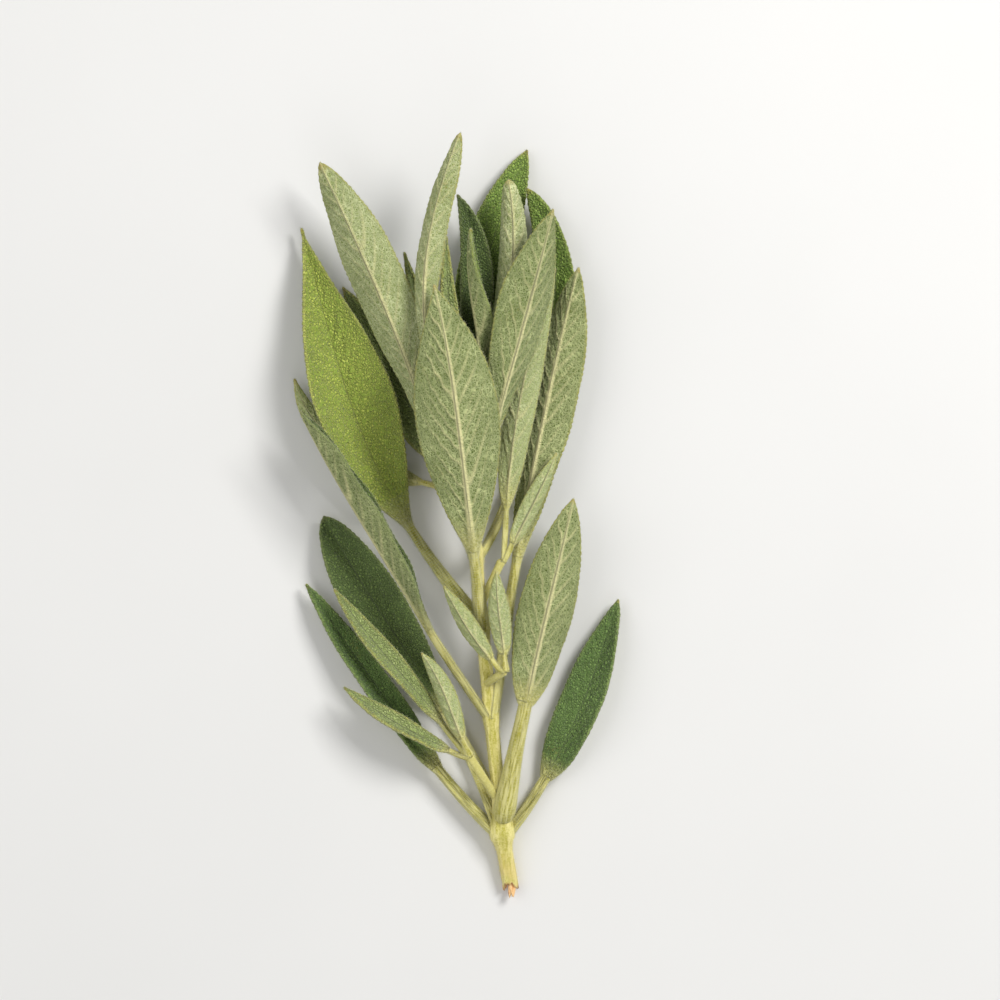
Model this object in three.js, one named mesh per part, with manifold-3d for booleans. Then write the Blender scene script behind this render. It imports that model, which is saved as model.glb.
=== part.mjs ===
// A cut sprig of common sage, lying on a table. One four-angled stem with a torn lower end carries
// eight pairs of long-stalked leaves set crosswise, four side shoots and a tuft of young leaves at
// its tip. Millimetres; the origin is on the table under the middle of the sprig, +Y runs from the
// cut end to the tips of the leaves and +Z is up.
import * as THREE from "three";
import { mergeVertices } from "three/addons/utils/BufferGeometryUtils.js";
import Module from "manifold-3d";

const wasm = await Module();
wasm.setup();

// The middle of the sprig on the table. All points below are given from a spot on the table beside
// the cut end, and the finished pieces are moved so that this middle is the origin.
const MIDDLE = [-10.6, 75.1, 0];
// Clearance left between pieces that grow from one another.
const GAP = 0.3;
// How deep a piece that rests on the table is let in before it is cut flat at the table.
const REST_DEPTH = 0.15;

const STEM = {
  baseRadius: 1.75,
  tipRadius: 0.9,
  squareness: 0.07, // how far the four angles stand out, as a share of the radius
  swell: 0.4, // extra radius where a pair of leaves leaves the stem
  lowSwell: 0.62, // and at the two lowest pairs
  swellLength: 2.2,
  sides: 12,
  rowLength: 2.8,
  tearDepth: 1.4, // how unevenly the lower end is torn
};

// The stem's axis: the cut end, the place of each pair of leaves from the lowest up, and the tip.
const CUT_END = [0.4, -1.2, 1.35];
const NODES = [
  [-1.2, 8.6, 2.65],
  [-1.35, 10.8, 2.95],
  [-3.6, 33.5, 5.6],
  [-5.4, 52.5, 8.4],
  [-6.6, 67, 10.2],
  [-7.5, 78.5, 11.2],
  [-8, 87, 11.8],
  [-8.3, 92.8, 12.2],
];
const STEM_TIP = [-8.4, 96, 12.4];

// Splinters of wood left standing out of the torn end: foot, point and radius at the foot.
const SPLINTERS = [
  { foot: [0.6, 0.8, 2.1], point: [0.7, -4.4, 2.6], radius: 0.9 },
  { foot: [-0.4, 0.8, 1.6], point: [-0.9, -3, 1.2], radius: 0.7 },
];

const BLADE = {
  edgeThickness: 0.7,
  footHalfWidth: 1.65, // half the stalk's width at the stem, and where it meets the blade
  petioleHalfWidth: 1.15,
  petioleDepth: 1.3, // how far the rounded back of the stalk stands below its flat face
  ribHalfWidth: 0.75,
  ribTipDepth: 0.15,
  tipHalfWidth: 0.4,
  widest: 0.5, // where a blade is widest, as a share of its length, unless a leaf says otherwise
  point: 0.85, // how drawn out the tip is: higher is more pointed
  toothDepth: 0.4,
  rowLength: 5.8,
  marginSteps: 4, // points of the margin in each row: two teeth
  petioleRows: 4,
};

// One leaf: pair is the place on the stem it grows from, third and twoThirds are where its rib is
// after a third and two thirds of its curve, and tip is where it ends. bladeFrom is the share of
// the curve taken by the stalk. roll turns the upper face about the rib, in degrees, at the foot,
// in the blade and at the tip: 0 faces up, 180 shows the underside, 90 faces +X. fold is how
// steeply each half rises from the rib, and curl how much further it turns towards its margin.
// stalk is how stout the stalk is, 1 where it isn't given.
const LEAVES = [
  {
    name: "leaf_1_left",
    pair: 0,
    third: [-15, 23.1, 3.4],
    twoThirds: [-29, 41.6, 3.4],
    tip: [-42.2, 61.2, 2.6],
    bladeFrom: 0.32,
    stalk: 1.28,
    halfWidth: 3.2,
    roll: [60, 28, 20],
    fold: 22,
    curl: 10,
  },
  {
    name: "leaf_1_right",
    pair: 0,
    third: [8.5, 22, 2.7],
    twoThirds: [16.4, 38.5, 3],
    tip: [23, 58, 2.6],
    bladeFrom: 0.3,
    stalk: 1.1,
    halfWidth: 4.6,
    roll: [-62, -15, -20],
    fold: 20,
    curl: 10,
  },
  {
    name: "leaf_2_back",
    pair: 1,
    third: [-12.5, 33.4, 1.8],
    twoThirds: [-26, 54, 2.6],
    tip: [-38.5, 75.4, 2.2],
    bladeFrom: 0.34,
    stalk: 1.1,
    halfWidth: 6,
    widest: 0.6,
    point: 0.7,
    roll: [10, 5, 10],
    fold: 14,
    curl: 8,
  },
  {
    name: "leaf_2_front",
    pair: 1,
    third: [3.4, 35.6, 10],
    twoThirds: [8.5, 57.5, 12.5],
    tip: [13.5, 79, 11.5],
    bladeFrom: 0.34,
    stalk: 1.35,
    halfWidth: 5.8,
    roll: [180, 190, 185],
    fold: 18,
    curl: 12,
  },
  {
    name: "leaf_3_left",
    pair: 2,
    third: [-17, 53.5, 10.4],
    twoThirds: [-32, 77.2, 13.7],
    tip: [-42.8, 97.1, 14.4],
    bladeFrom: 0.3,
    halfWidth: 4.7,
    roll: [90, 84, 86],
    fold: 58,
    curl: 14,
  },
  {
    name: "leaf_3_right",
    pair: 2,
    third: [1.6, 65, 7.8],
    twoThirds: [8.2, 99, 8.4],
    tip: [14.7, 127, 8.4],
    bladeFrom: 0.34,
    halfWidth: 5.8,
    widest: 0.56,
    point: 1,
    roll: [-90, -202, -200],
    fold: 20,
    curl: 12,
  },
  {
    name: "leaf_4_back",
    pair: 3,
    third: [-23.5, 78, 5.6],
    twoThirds: [-34, 102, 4.8],
    tip: [-43.1, 135.4, 3.6],
    bladeFrom: 0.26,
    halfWidth: 9.8,
    widest: 0.5,
    point: 1.35,
    roll: [10, 14, 12],
    fold: 28,
    curl: 10,
  },
  {
    name: "leaf_4_front",
    pair: 3,
    third: [-8.2, 77, 18.6],
    twoThirds: [-11.2, 101.5, 22.6],
    tip: [-15.3, 123, 20],
    bladeFrom: 0.2,
    halfWidth: 8.8,
    point: 1.25,
    roll: [180, 182, 178],
    fold: 14,
    curl: 10,
  },
  {
    name: "leaf_5_left",
    pair: 4,
    third: [-15.8, 93.5, 12.2],
    twoThirds: [-25, 117.6, 12.8],
    tip: [-39, 148.6, 12],
    bladeFrom: 0.27,
    halfWidth: 6.3,
    widest: 0.65,
    point: 0.7,
    roll: [90, 157, 160],
    fold: 20,
    curl: 10,
  },
  {
    name: "leaf_5_right",
    pair: 4,
    third: [2.5, 86, 3.4],
    twoThirds: [9.6, 116, 2],
    tip: [3.9, 143.6, 6],
    bladeFrom: 0.3,
    halfWidth: 4.6,
    point: 0.7,
    roll: [-90, -8, -10],
    fold: 12,
    curl: 8,
    rests: true,
  },
  {
    name: "leaf_6_back",
    pair: 5,
    third: [-8.4, 104, 5.4],
    twoThirds: [-5, 127, 2.6],
    tip: [4, 151.8, 1.6],
    bladeFrom: 0.22,
    halfWidth: 5.4,
    widest: 0.6,
    point: 0.8,
    roll: [0, 4, 4],
    fold: 12,
    curl: 8,
  },
  {
    name: "leaf_6_front",
    pair: 5,
    third: [-2.2, 96.5, 16.8],
    twoThirds: [3.4, 115.8, 18],
    tip: [9.2, 138.7, 17.5],
    bladeFrom: 0.22,
    halfWidth: 6.4,
    widest: 0.62,
    point: 1,
    roll: [180, 204, 202],
    fold: 26,
    curl: 12,
  },
  {
    name: "leaf_7_left",
    pair: 6,
    third: [-15.9, 107, 16.6],
    twoThirds: [-16.7, 129, 17.8],
    tip: [-9.8, 154.3, 19],
    bladeFrom: 0.22,
    halfWidth: 3.3,
    widest: 0.68,
    point: 0.6,
    roll: [90, 168, 150],
    fold: 26,
    curl: 20,
  },
  {
    name: "leaf_7_right",
    pair: 6,
    third: [-2.8, 104.5, 11.6],
    twoThirds: [0.8, 124.5, 12],
    tip: [0, 145, 12.6],
    bladeFrom: 0.24,
    halfWidth: 5,
    widest: 0.6,
    point: 0.5,
    roll: [-90, -176, -180],
    fold: 24,
    curl: 66,
  },
  {
    name: "leaf_8_front",
    pair: 7,
    third: [-5.5, 106, 14.3],
    twoThirds: [-7.4, 120, 14.2],
    tip: [-7.7, 134.8, 14.6],
    bladeFrom: 0.22,
    halfWidth: 3.6,
    roll: [180, 130, 70],
    fold: 46,
    curl: 14,
  },
  {
    name: "leaf_8_back",
    pair: 7,
    third: [-7.4, 109.5, 7],
    twoThirds: [-6.6, 126.5, 6],
    tip: [-10.6, 142.2, 7.2],
    bladeFrom: 0.22,
    halfWidth: 3.4,
    roll: [0, 4, 0],
    fold: 16,
    curl: 10,
  },
];

// Side shoots in the angles between stem and leaf: a thin stem from its foot in the main stem to
// its end, and the leaves that grow from that end.
const SHOOTS = [
  {
    name: "side_shoot_1",
    foot: [-2.2, 16.2, 3.6],
    end: [-8, 25.5, 8.2],
    radius: 0.95,
    leaves: [
      {
        third: [-19, 38.5, 8.4],
        twoThirds: [-28, 49, 7.6],
        tip: [-36.2, 60.2, 6.6],
        halfWidth: 2.6,
        roll: [90, 30, 20],
      },
      {
        third: [-16.5, 28.5, 8.6],
        twoThirds: [-25.5, 33.4, 8],
        tip: [-34.2, 39.8, 7],
        halfWidth: 2.3,
        roll: [90, 40, 30],
      },
      {
        third: [-11, 33, 10.6],
        twoThirds: [-14, 40.5, 11.2],
        tip: [-18, 47, 11],
        halfWidth: 2.2,
        roll: [180, 170, 170],
      },
    ],
  },
  {
    name: "side_shoot_2",
    foot: [-4.5, 40.6, 7.2],
    end: [-0.7, 43.2, 11.4],
    radius: 0.85,
    leaves: [
      {
        third: [-1.2, 50, 13],
        twoThirds: [-2, 56.5, 14.4],
        tip: [-2.4, 64, 15.6],
        halfWidth: 2.4,
        roll: [-180, -180, -180],
      },
      {
        third: [-5.6, 48.4, 12.6],
        twoThirds: [-9.4, 54, 13.6],
        tip: [-13.4, 61, 14],
        halfWidth: 2.2,
        roll: [90, 160, 160],
      },
    ],
  },
  {
    name: "side_shoot_3",
    foot: [-5.4, 57.6, 9.1],
    end: [-1.4, 66, 11],
    radius: 0.95,
    leaves: [
      {
        third: [0.6, 87, 11],
        twoThirds: [3.8, 105.5, 11.2],
        tip: [9.7, 126.8, 11.2],
        halfWidth: 3.7,
        roll: [-90, -186, -190],
      },
      {
        third: [2.6, 73, 11.4],
        twoThirds: [6.2, 80, 11.6],
        tip: [10, 88.5, 11.4],
        halfWidth: 2.2,
        roll: [-90, -160, -160],
      },
    ],
  },
  {
    name: "side_shoot_4",
    foot: [-6.9, 71, 10.2],
    end: [-11.6, 81, 7],
    radius: 0.95,
    rests: true,
    leaves: [
      {
        third: [-18, 93, 3],
        twoThirds: [-24.5, 106, 1.8],
        tip: [-34.6, 123.2, 1.8],
        halfWidth: 5.4,
        roll: [60, -4, -4],
      },
      {
        third: [-25, 84.5, 3.8],
        twoThirds: [-37, 91.5, 3.9],
        tip: [-44.6, 104, 4.2],
        halfWidth: 2.8,
        roll: [180, 190, 190],
      },
      {
        third: [-14.6, 97, 8.2],
        twoThirds: [-17.8, 113.5, 9],
        tip: [-21.6, 130.2, 9.4],
        halfWidth: 2.1,
        roll: [90, 20, 10],
      },
    ],
  },
];

// The young leaves round the tip of the stem.
const TUFT = {
  name: "tip_leaves",
  budRadius: 1.1,
  budLength: 4.4,
  leaves: [
    {
      third: [-10.6, 107, 12.8],
      twoThirds: [-12.4, 119.5, 12.6],
      tip: [-12.8, 133.3, 12.4],
      halfWidth: 1.9,
      roll: [90, 20, 10],
    },
    {
      third: [-8.2, 100.4, 12.8],
      twoThirds: [-8, 104, 12.8],
      tip: [-8.4, 108.4, 12.6],
      halfWidth: 1.4,
      roll: [-90, -120, -120],
    },
    {
      third: [-8.8, 100.6, 12],
      twoThirds: [-9.2, 104.4, 11.6],
      tip: [-9.6, 108, 11.6],
      halfWidth: 1.4,
      roll: [0, 0, 0],
    },
  ],
};
// What the small leaves of the shoots and the tuft share.
const YOUNG = { bladeFrom: 0.16, fold: 22, curl: 20, small: true };

const COLOURS = {
  stem: { color: 0xb9b765, roughness: 0.85, metalness: 0 },
  upper: { color: 0x7d9647, roughness: 0.9, metalness: 0 },
  under: { color: 0xa3b47c, roughness: 0.95, metalness: 0 },
  young: { color: 0xb3c48e, roughness: 0.95, metalness: 0 },
};

const UP = new THREE.Vector3(0, 0, 1);
const radians = THREE.MathUtils.degToRad;
const { lerp, smoothstep } = THREE.MathUtils;
const vector = (xyz) => new THREE.Vector3(...xyz);

// A closed solid for joining and cutting, from points and triangles of their numbers.
function solidFrom(points, triangles) {
  const vertProperties = new Float32Array(points.flatMap((p) => [p.x, p.y, p.z]));
  const triVerts = new Uint32Array(triangles.flat());
  return new wasm.Manifold(new wasm.Mesh({ numProp: 3, vertProperties, triVerts }));
}

// A closed three.js geometry as a solid.
function solidOf(geometry) {
  const bare = geometry.clone();
  bare.deleteAttribute("normal");
  bare.deleteAttribute("uv");
  const merged = mergeVertices(bare, 1e-4);
  return new wasm.Manifold(
    new wasm.Mesh({
      numProp: 3,
      vertProperties: new Float32Array(merged.attributes.position.array),
      triVerts: new Uint32Array(merged.index.array),
    }),
  );
}

// Sides direction and upward direction of a section, square to the way the curve runs.
function sectionAxes(along) {
  const side = new THREE.Vector3().crossVectors(along, UP).normalize();
  const up = new THREE.Vector3().crossVectors(side, along).normalize();
  return { side, up };
}

// Triangles between two lines of points that run the same way, the first on the left. Each line
// is a list of { at, id }, and whichever line lags behind takes the next step.
function zip(left, right) {
  const triangles = [];
  let i = 0;
  let j = 0;
  while (i < left.length - 1 || j < right.length - 1) {
    const leftNext = i < left.length - 1 ? left[i + 1].at : Infinity;
    const rightNext = j < right.length - 1 ? right[j + 1].at : Infinity;
    if (leftNext <= rightNext) {
      triangles.push([left[i].id, right[j].id, left[i + 1].id]);
      i += 1;
    } else {
      triangles.push([left[i].id, right[j].id, right[j + 1].id]);
      j += 1;
    }
  }
  return triangles;
}

// The curve of the stem's axis, where its rows lie along it, and its radius there.
const stemPlaces = [CUT_END, ...NODES, STEM_TIP].map(vector);
const stemCurve = new THREE.CatmullRomCurve3(stemPlaces, false, "centripetal");

function stemRows() {
  const last = stemPlaces.length - 1;
  const rows = [];
  for (let part = 0; part < last; part += 1) {
    const length = stemPlaces[part].distanceTo(stemPlaces[part + 1]);
    const steps = Math.max(2, Math.round(length / STEM.rowLength));
    for (let step = 0; step < steps; step += 1) rows.push((part + step / steps) / last);
  }
  return [...rows, 1];
}

function stemRadius(centre, share) {
  const swell = NODES.reduce((sum, node, pair) => {
    const away = (centre.y - node[1]) / STEM.swellLength;
    return sum + (pair < 2 ? STEM.lowSwell : STEM.swell) * Math.exp(-away * away);
  }, 0);
  return lerp(STEM.baseRadius, STEM.tipRadius, share) + swell * (1 - 0.5 * share);
}

// The stem as a tube of four-angled section, grown by a margin where it is used as a cutter. Its
// lower end is torn: the points of the first ring lie at different heights.
function stemTube(margin) {
  const points = [];
  const rings = [];
  const rows = stemRows();
  for (const share of rows) {
    const along = stemCurve.getTangent(share);
    const beyond = share === 0 ? -margin : share === 1 ? margin : 0;
    const centre = stemCurve.getPoint(share).addScaledVector(along, beyond);
    const { side, up } = sectionAxes(along);
    const radius = stemRadius(centre, share) + margin;
    const ring = [];
    for (let k = 0; k < STEM.sides; k += 1) {
      const angle = ((k + 0.5) / STEM.sides) * 2 * Math.PI;
      const reach = radius * (1 - STEM.squareness * Math.cos(4 * angle));
      const tear = share === 0 ? -STEM.tearDepth * (0.5 + 0.5 * Math.sin(2.3 * angle + 0.8)) : 0;
      points.push(
        centre
          .clone()
          .addScaledVector(side, reach * Math.cos(angle))
          .addScaledVector(up, reach * Math.sin(angle))
          .addScaledVector(along, tear),
      );
      ring.push(points.length - 1);
    }
    rings.push(ring);
  }
  const ends = [0, 1].map((share) => {
    const along = stemCurve.getTangent(share);
    const end = stemCurve.getPoint(share).addScaledVector(along, (2 * share - 1) * margin);
    return points.push(end) - 1;
  });
  const triangles = [];
  for (let k = 0; k < STEM.sides; k += 1) {
    const next = (k + 1) % STEM.sides;
    for (let row = 0; row < rings.length - 1; row += 1) {
      const [lower, upper] = [rings[row], rings[row + 1]];
      triangles.push([lower[k], upper[next], lower[next]], [lower[k], upper[k], upper[next]]);
    }
    triangles.push([rings[0][next], ends[0], rings[0][k]]);
    triangles.push([rings.at(-1)[k], ends[1], rings.at(-1)[next]]);
  }
  return solidFrom(points, triangles);
}

// A pointed splinter of wood.
function splinter({ foot, point, radius }) {
  const way = vector(point).sub(vector(foot));
  const geometry = new THREE.ConeGeometry(radius, way.length(), 5);
  geometry.translate(0, way.length() / 2, 0);
  const turn = new THREE.Quaternion().setFromUnitVectors(new THREE.Vector3(0, 1, 0), way.clone().normalize());
  geometry.applyQuaternion(turn);
  geometry.translate(...foot);
  return solidOf(geometry);
}

// The leaf's rib as a Bezier curve through its foot, third, twoThirds and tip.
function ribCurve(leaf) {
  const [a, b, c, d] = [leaf.foot, leaf.third, leaf.twoThirds, leaf.tip].map(vector);
  const mix = (p, q, r, s) =>
    new THREE.Vector3()
      .addScaledVector(a, p)
      .addScaledVector(b, q)
      .addScaledVector(c, r)
      .addScaledVector(d, s);
  const first = mix(-5 / 6, 3, -1.5, 1 / 3);
  const second = mix(1 / 3, -1.5, 3, -5 / 6);
  return new THREE.CubicBezierCurve3(a, first, second, d);
}

// How far along the blade a share of the curve is: 0 or less on the stalk, 1 at the tip.
const bladeShare = (leaf, share) => (share - leaf.bladeFrom) / (1 - leaf.bladeFrom);

// A small leaf's teeth and rib are finer, and stalks get thinner up the stem.
const fineness = (leaf) => (leaf.small ? 0.5 : Math.min(1, 0.55 + leaf.halfWidth / 14));
const stalkSize = (leaf) => fineness(leaf) * (leaf.stalk ?? 1) * (1 - 0.05 * (leaf.pair ?? 0));

function halfWidthAt(leaf, share) {
  const inStalk = smoothstep(share, 0, leaf.bladeFrom);
  const stalk = lerp(BLADE.footHalfWidth, BLADE.petioleHalfWidth, inStalk) * stalkSize(leaf);
  const u = bladeShare(leaf, share);
  if (u <= 0) return stalk;
  const widest = leaf.widest ?? BLADE.widest;
  const point = leaf.point ?? BLADE.point;
  const base = (point * widest) / (1 - widest);
  const shape = (x) => x ** base * (1 - x) ** point;
  const blade = (leaf.halfWidth * shape(u)) / shape(widest);
  return Math.max(BLADE.tipHalfWidth, blade + stalk * (1 - u) ** 2);
}

function rollAt(leaf, share) {
  const u = bladeShare(leaf, share);
  const [foot, blade, tip] = leaf.roll;
  const inStalk = lerp(foot, blade, smoothstep(share, 0, leaf.bladeFrom + 0.1));
  return radians(inStalk + (tip - blade) * smoothstep(u, 0.2, 1));
}

// A point of a leaf's surface. across runs from -1 at the left margin to 1 at the right one, face
// is 1 on the upper face and -1 on the underside, and tooth widens the blade at the margin.
function leafPoint(leaf, curve, share, across, face, tooth = 0) {
  const u = bladeShare(leaf, share);
  const { side, up } = sectionAxes(curve.getTangent(share));
  const roll = rollAt(leaf, share);
  const normal = up.clone().multiplyScalar(Math.cos(roll)).addScaledVector(side, Math.sin(roll));
  const right = side.clone().multiplyScalar(Math.cos(roll)).addScaledVector(up, -Math.sin(roll));
  const width = halfWidthAt(leaf, share) + tooth;
  const opening = smoothstep(u, -0.05, 0.3);
  const fold = radians(leaf.fold) * opening;
  const curl = radians(leaf.curl) * opening + 1e-6;
  const reach = Math.abs(across);
  const hand = Math.sign(across);
  const turn = fold + curl * reach;
  const out = (width / curl) * (Math.sin(turn) - Math.sin(fold));
  const lift = (width / curl) * (Math.cos(fold) - Math.cos(turn));
  const size = fineness(leaf);
  const ribDepth = lerp(BLADE.petioleDepth, BLADE.ribTipDepth, smoothstep(u, -0.2, 0.9)) * size;
  const keel = face < 0 && across === 0 ? ribDepth : 0;
  const thickness = BLADE.edgeThickness / 2 + keel;
  const tilt = across === 0 ? 0 : turn;
  return curve
    .getPoint(share)
    .addScaledVector(right, hand * (out - face * thickness * Math.sin(tilt)))
    .addScaledVector(normal, lift + face * thickness * Math.cos(tilt));
}

// Where the rows of a leaf lie along its curve: each row says how many steps the margin takes to
// the next one, four in the blade for two teeth and one in the stalk.
function leafRows(leaf, curve) {
  const petioleRows = leaf.small ? 2 : BLADE.petioleRows;
  const bladeLength = curve.getLength() * (1 - leaf.bladeFrom);
  const bladeRows = Math.max(4, Math.round(bladeLength / BLADE.rowLength));
  const marginSteps = leaf.small ? 2 : BLADE.marginSteps;
  const rows = [];
  for (let row = 0; row < petioleRows; row += 1) {
    rows.push({ share: (leaf.bladeFrom * row) / petioleRows, steps: 1 });
  }
  for (let row = 0; row <= bladeRows; row += 1) {
    const u = 1 - (1 - row / bladeRows) ** 1.3;
    rows.push({ share: lerp(leaf.bladeFrom, 1, u), steps: marginSteps });
  }
  return rows;
}

// A leaf as one closed solid: stalk, keeled rib and toothed blade. Both faces are split into
// triangles alike, so that they never cross.
function leafSolid(leaf) {
  const curve = ribCurve(leaf);
  const rows = leafRows(leaf, curve);
  const points = [];
  const place = (share, across, face, tooth) => ({
    at: share,
    id: points.push(leafPoint(leaf, curve, share, across, face, tooth)) - 1,
  });
  const ribShare = (share) => {
    const inBlade = smoothstep(bladeShare(leaf, share), -0.1, 0.3);
    const rib = lerp(BLADE.petioleHalfWidth, BLADE.ribHalfWidth, inBlade);
    return Math.min(0.8, (rib * fineness(leaf)) / halfWidthAt(leaf, share));
  };
  const inner = [(share) => -ribShare(share), () => 0, (share) => ribShare(share)];
  const columns = leaf.small || leaf.curl < 20
    ? inner
    : [(share) => -(1 + ribShare(share)) / 2, ...inner, (share) => (1 + ribShare(share)) / 2];
  const margin = (across, face) =>
    rows.flatMap((row, number) => {
      const next = rows[number + 1];
      if (!next) return [place(row.share, across, face)];
      return Array.from({ length: row.steps }, (_, step) => {
        const share = lerp(row.share, next.share, step / row.steps);
        const u = bladeShare(leaf, share);
        const taper = smoothstep(u, 0.02, 0.2) * smoothstep(1 - u, 0.02, 0.15);
        const tooth = step % 2 ? BLADE.toothDepth * fineness(leaf) * taper : 0;
        return place(share, across, face, tooth);
      });
    });
  const faceLines = (face) => [
    margin(-1, face),
    ...columns.map((column) => rows.map((row) => place(row.share, column(row.share), face))),
    margin(1, face),
  ];
  const upper = faceLines(1);
  const under = faceLines(-1);
  const triangles = [];
  for (let line = 0; line < upper.length - 1; line += 1) {
    triangles.push(...zip(upper[line], upper[line + 1]));
    triangles.push(...zip(under[line], under[line + 1]).map(([a, b, c]) => [a, c, b]));
  }
  const rim = (top, bottom) => {
    for (let k = 0; k < top.length - 1; k += 1) {
      triangles.push([top[k].id, top[k + 1].id, bottom[k].id]);
      triangles.push([bottom[k].id, top[k + 1].id, bottom[k + 1].id]);
    }
  };
  rim(upper[0], under[0]);
  rim(under.at(-1), upper.at(-1));
  rim(under.map((line) => line[0]), upper.map((line) => line[0]));
  rim(upper.map((line) => line.at(-1)), under.map((line) => line.at(-1)));
  return solidFrom(points, triangles);
}

// The body of a solid that is left after a cut, without the scraps.
const mainBody = (solid) => solid.decompose().sort((a, b) => b.volume() - a.volume())[0];

// The table, as a slab whose top is at height 0.
const table = solidOf(new THREE.BoxGeometry(400, 400, 20).translate(0, 60, -10));
const stemCutter = stemTube(GAP);

// A piece cut clear of the stem and, where it rests, let down to the table and cut flat there.
function fitted(solid, rests) {
  const clear = mainBody(solid.subtract(stemCutter));
  if (!rests) return clear;
  const lowest = clear.boundingBox().min[2];
  return mainBody(clear.translate([0, 0, -lowest - REST_DEPTH]).subtract(table));
}

// A leaf of the main stem.
function mainLeaf(leaf) {
  return fitted(leafSolid({ ...leaf, foot: NODES[leaf.pair] }), leaf.rests);
}

// A side shoot: a thin stem with small leaves at its end, in one piece.
function shootSolid(shoot) {
  const foot = vector(shoot.foot);
  const end = vector(shoot.end);
  const bend = foot.clone().lerp(end, 0.5).add(new THREE.Vector3(0, 0, 0.8));
  const tube = new THREE.ExtrudeGeometry(
    new THREE.Shape(new THREE.Path().absarc(0, 0, shoot.radius, 0, 2 * Math.PI).getPoints(2)),
    { steps: 6, extrudePath: new THREE.CatmullRomCurve3([foot, bend, end]), bevelEnabled: false },
  );
  const leaves = shoot.leaves.map((leaf) => leafSolid({ ...YOUNG, ...leaf, foot: shoot.end }));
  const knot = solidOf(new THREE.IcosahedronGeometry(shoot.radius * 1.3, 1).translate(...shoot.end));
  const whole = leaves.reduce((sum, leaf) => sum.add(leaf), knot.add(solidOf(tube)));
  return fitted(whole, shoot.rests);
}

// The tuft at the stem's tip: a bud with small leaves round it, in one piece.
function tuftSolid(tuft) {
  const bud = new THREE.IcosahedronGeometry(tuft.budRadius, 1);
  bud.scale(1, tuft.budLength / (2 * tuft.budRadius), 1);
  bud.translate(STEM_TIP[0], STEM_TIP[1] + tuft.budLength / 2, STEM_TIP[2]);
  const foot = [STEM_TIP[0], STEM_TIP[1] + 1.2, STEM_TIP[2]];
  const leaves = tuft.leaves.map((leaf) => leafSolid({ ...YOUNG, ...leaf, foot }));
  const whole = leaves.reduce((sum, leaf) => sum.add(leaf), solidOf(bud));
  return fitted(whole, false);
}

// The stem with its splinters, cut flat where it lies on the table.
function stemSolid() {
  return mainBody(SPLINTERS.reduce((sum, one) => sum.add(splinter(one)), stemTube(0)).subtract(table));
}

// A solid as a named mesh.
function meshOf(name, solid, look) {
  const made = solid.translate(MIDDLE.map((value) => -value)).getMesh();
  const positions = new Float32Array(made.numVert * 3);
  for (let k = 0; k < made.numVert; k += 1) {
    positions.set(made.vertProperties.subarray(k * made.numProp, k * made.numProp + 3), k * 3);
  }
  const geometry = new THREE.BufferGeometry();
  geometry.setAttribute("position", new THREE.BufferAttribute(positions, 3));
  geometry.setIndex(new THREE.BufferAttribute(new Uint32Array(made.triVerts), 1));
  geometry.computeVertexNormals();
  const mesh = new THREE.Mesh(geometry, new THREE.MeshStandardMaterial(look));
  mesh.name = name;
  return mesh;
}

// Leaves whose upper, greener face shows, going by how their blade is turned.
const showsUpperFace = (leaf) => Math.cos(radians(leaf.roll[1])) > 0.5;

const sprig = new THREE.Group();
sprig.name = "sage_sprig";
sprig.add(meshOf("stem", stemSolid(), COLOURS.stem));
for (const leaf of LEAVES) {
  sprig.add(meshOf(leaf.name, mainLeaf(leaf), showsUpperFace(leaf) ? COLOURS.upper : COLOURS.under));
}
for (const shoot of SHOOTS) sprig.add(meshOf(shoot.name, shootSolid(shoot), COLOURS.young));
sprig.add(meshOf(TUFT.name, tuftSolid(TUFT), COLOURS.young));

export default sprig;
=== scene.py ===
"""A cut sprig of common sage lying on a pale floor, seen from straight above.

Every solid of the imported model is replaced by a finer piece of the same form: leaves with veins, a
net of small cells, crenate margins and felt, and a four-angled downy stem with a torn end. Points
and sizes are in millimetres, as in the solids, and turn into metres when a mesh is made.
"""

import logging
import math
from dataclasses import dataclass
from enum import Enum

import bpy
import numpy as np
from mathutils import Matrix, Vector

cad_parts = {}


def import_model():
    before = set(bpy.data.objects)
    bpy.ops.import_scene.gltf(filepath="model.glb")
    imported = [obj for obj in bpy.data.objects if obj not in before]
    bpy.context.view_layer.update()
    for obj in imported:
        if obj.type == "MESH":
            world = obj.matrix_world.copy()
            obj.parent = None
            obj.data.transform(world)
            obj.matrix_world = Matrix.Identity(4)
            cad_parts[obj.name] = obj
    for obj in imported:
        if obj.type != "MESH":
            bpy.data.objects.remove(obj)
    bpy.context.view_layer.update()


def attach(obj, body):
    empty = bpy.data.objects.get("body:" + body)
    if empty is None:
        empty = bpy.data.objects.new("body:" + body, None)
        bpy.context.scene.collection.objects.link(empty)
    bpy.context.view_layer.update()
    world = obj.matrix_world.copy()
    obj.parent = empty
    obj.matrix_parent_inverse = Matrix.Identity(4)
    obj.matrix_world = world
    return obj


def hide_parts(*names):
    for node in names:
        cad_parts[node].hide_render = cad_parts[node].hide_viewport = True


LOG = logging.getLogger("sage_sprig")
METRES = 0.001

Point = tuple[float, float, float]
Colour = tuple[float, float, float, float]

# The middle of the sprig on the table: points below are given from a spot beside the cut end.
MIDDLE = np.array([-10.6, 75.1, 0.0])

CUT_END = (0.4, -1.2, 1.35)
PAIRS = (
    (-1.2, 8.6, 2.65),
    (-1.35, 10.8, 2.95),
    (-3.6, 33.5, 5.6),
    (-5.4, 52.5, 8.4),
    (-6.6, 67, 10.2),
    (-7.5, 78.5, 11.2),
    (-8, 87, 11.8),
    (-8.3, 92.8, 12.2),
)
STEM_TIP = (-8.4, 96, 12.4)


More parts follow.
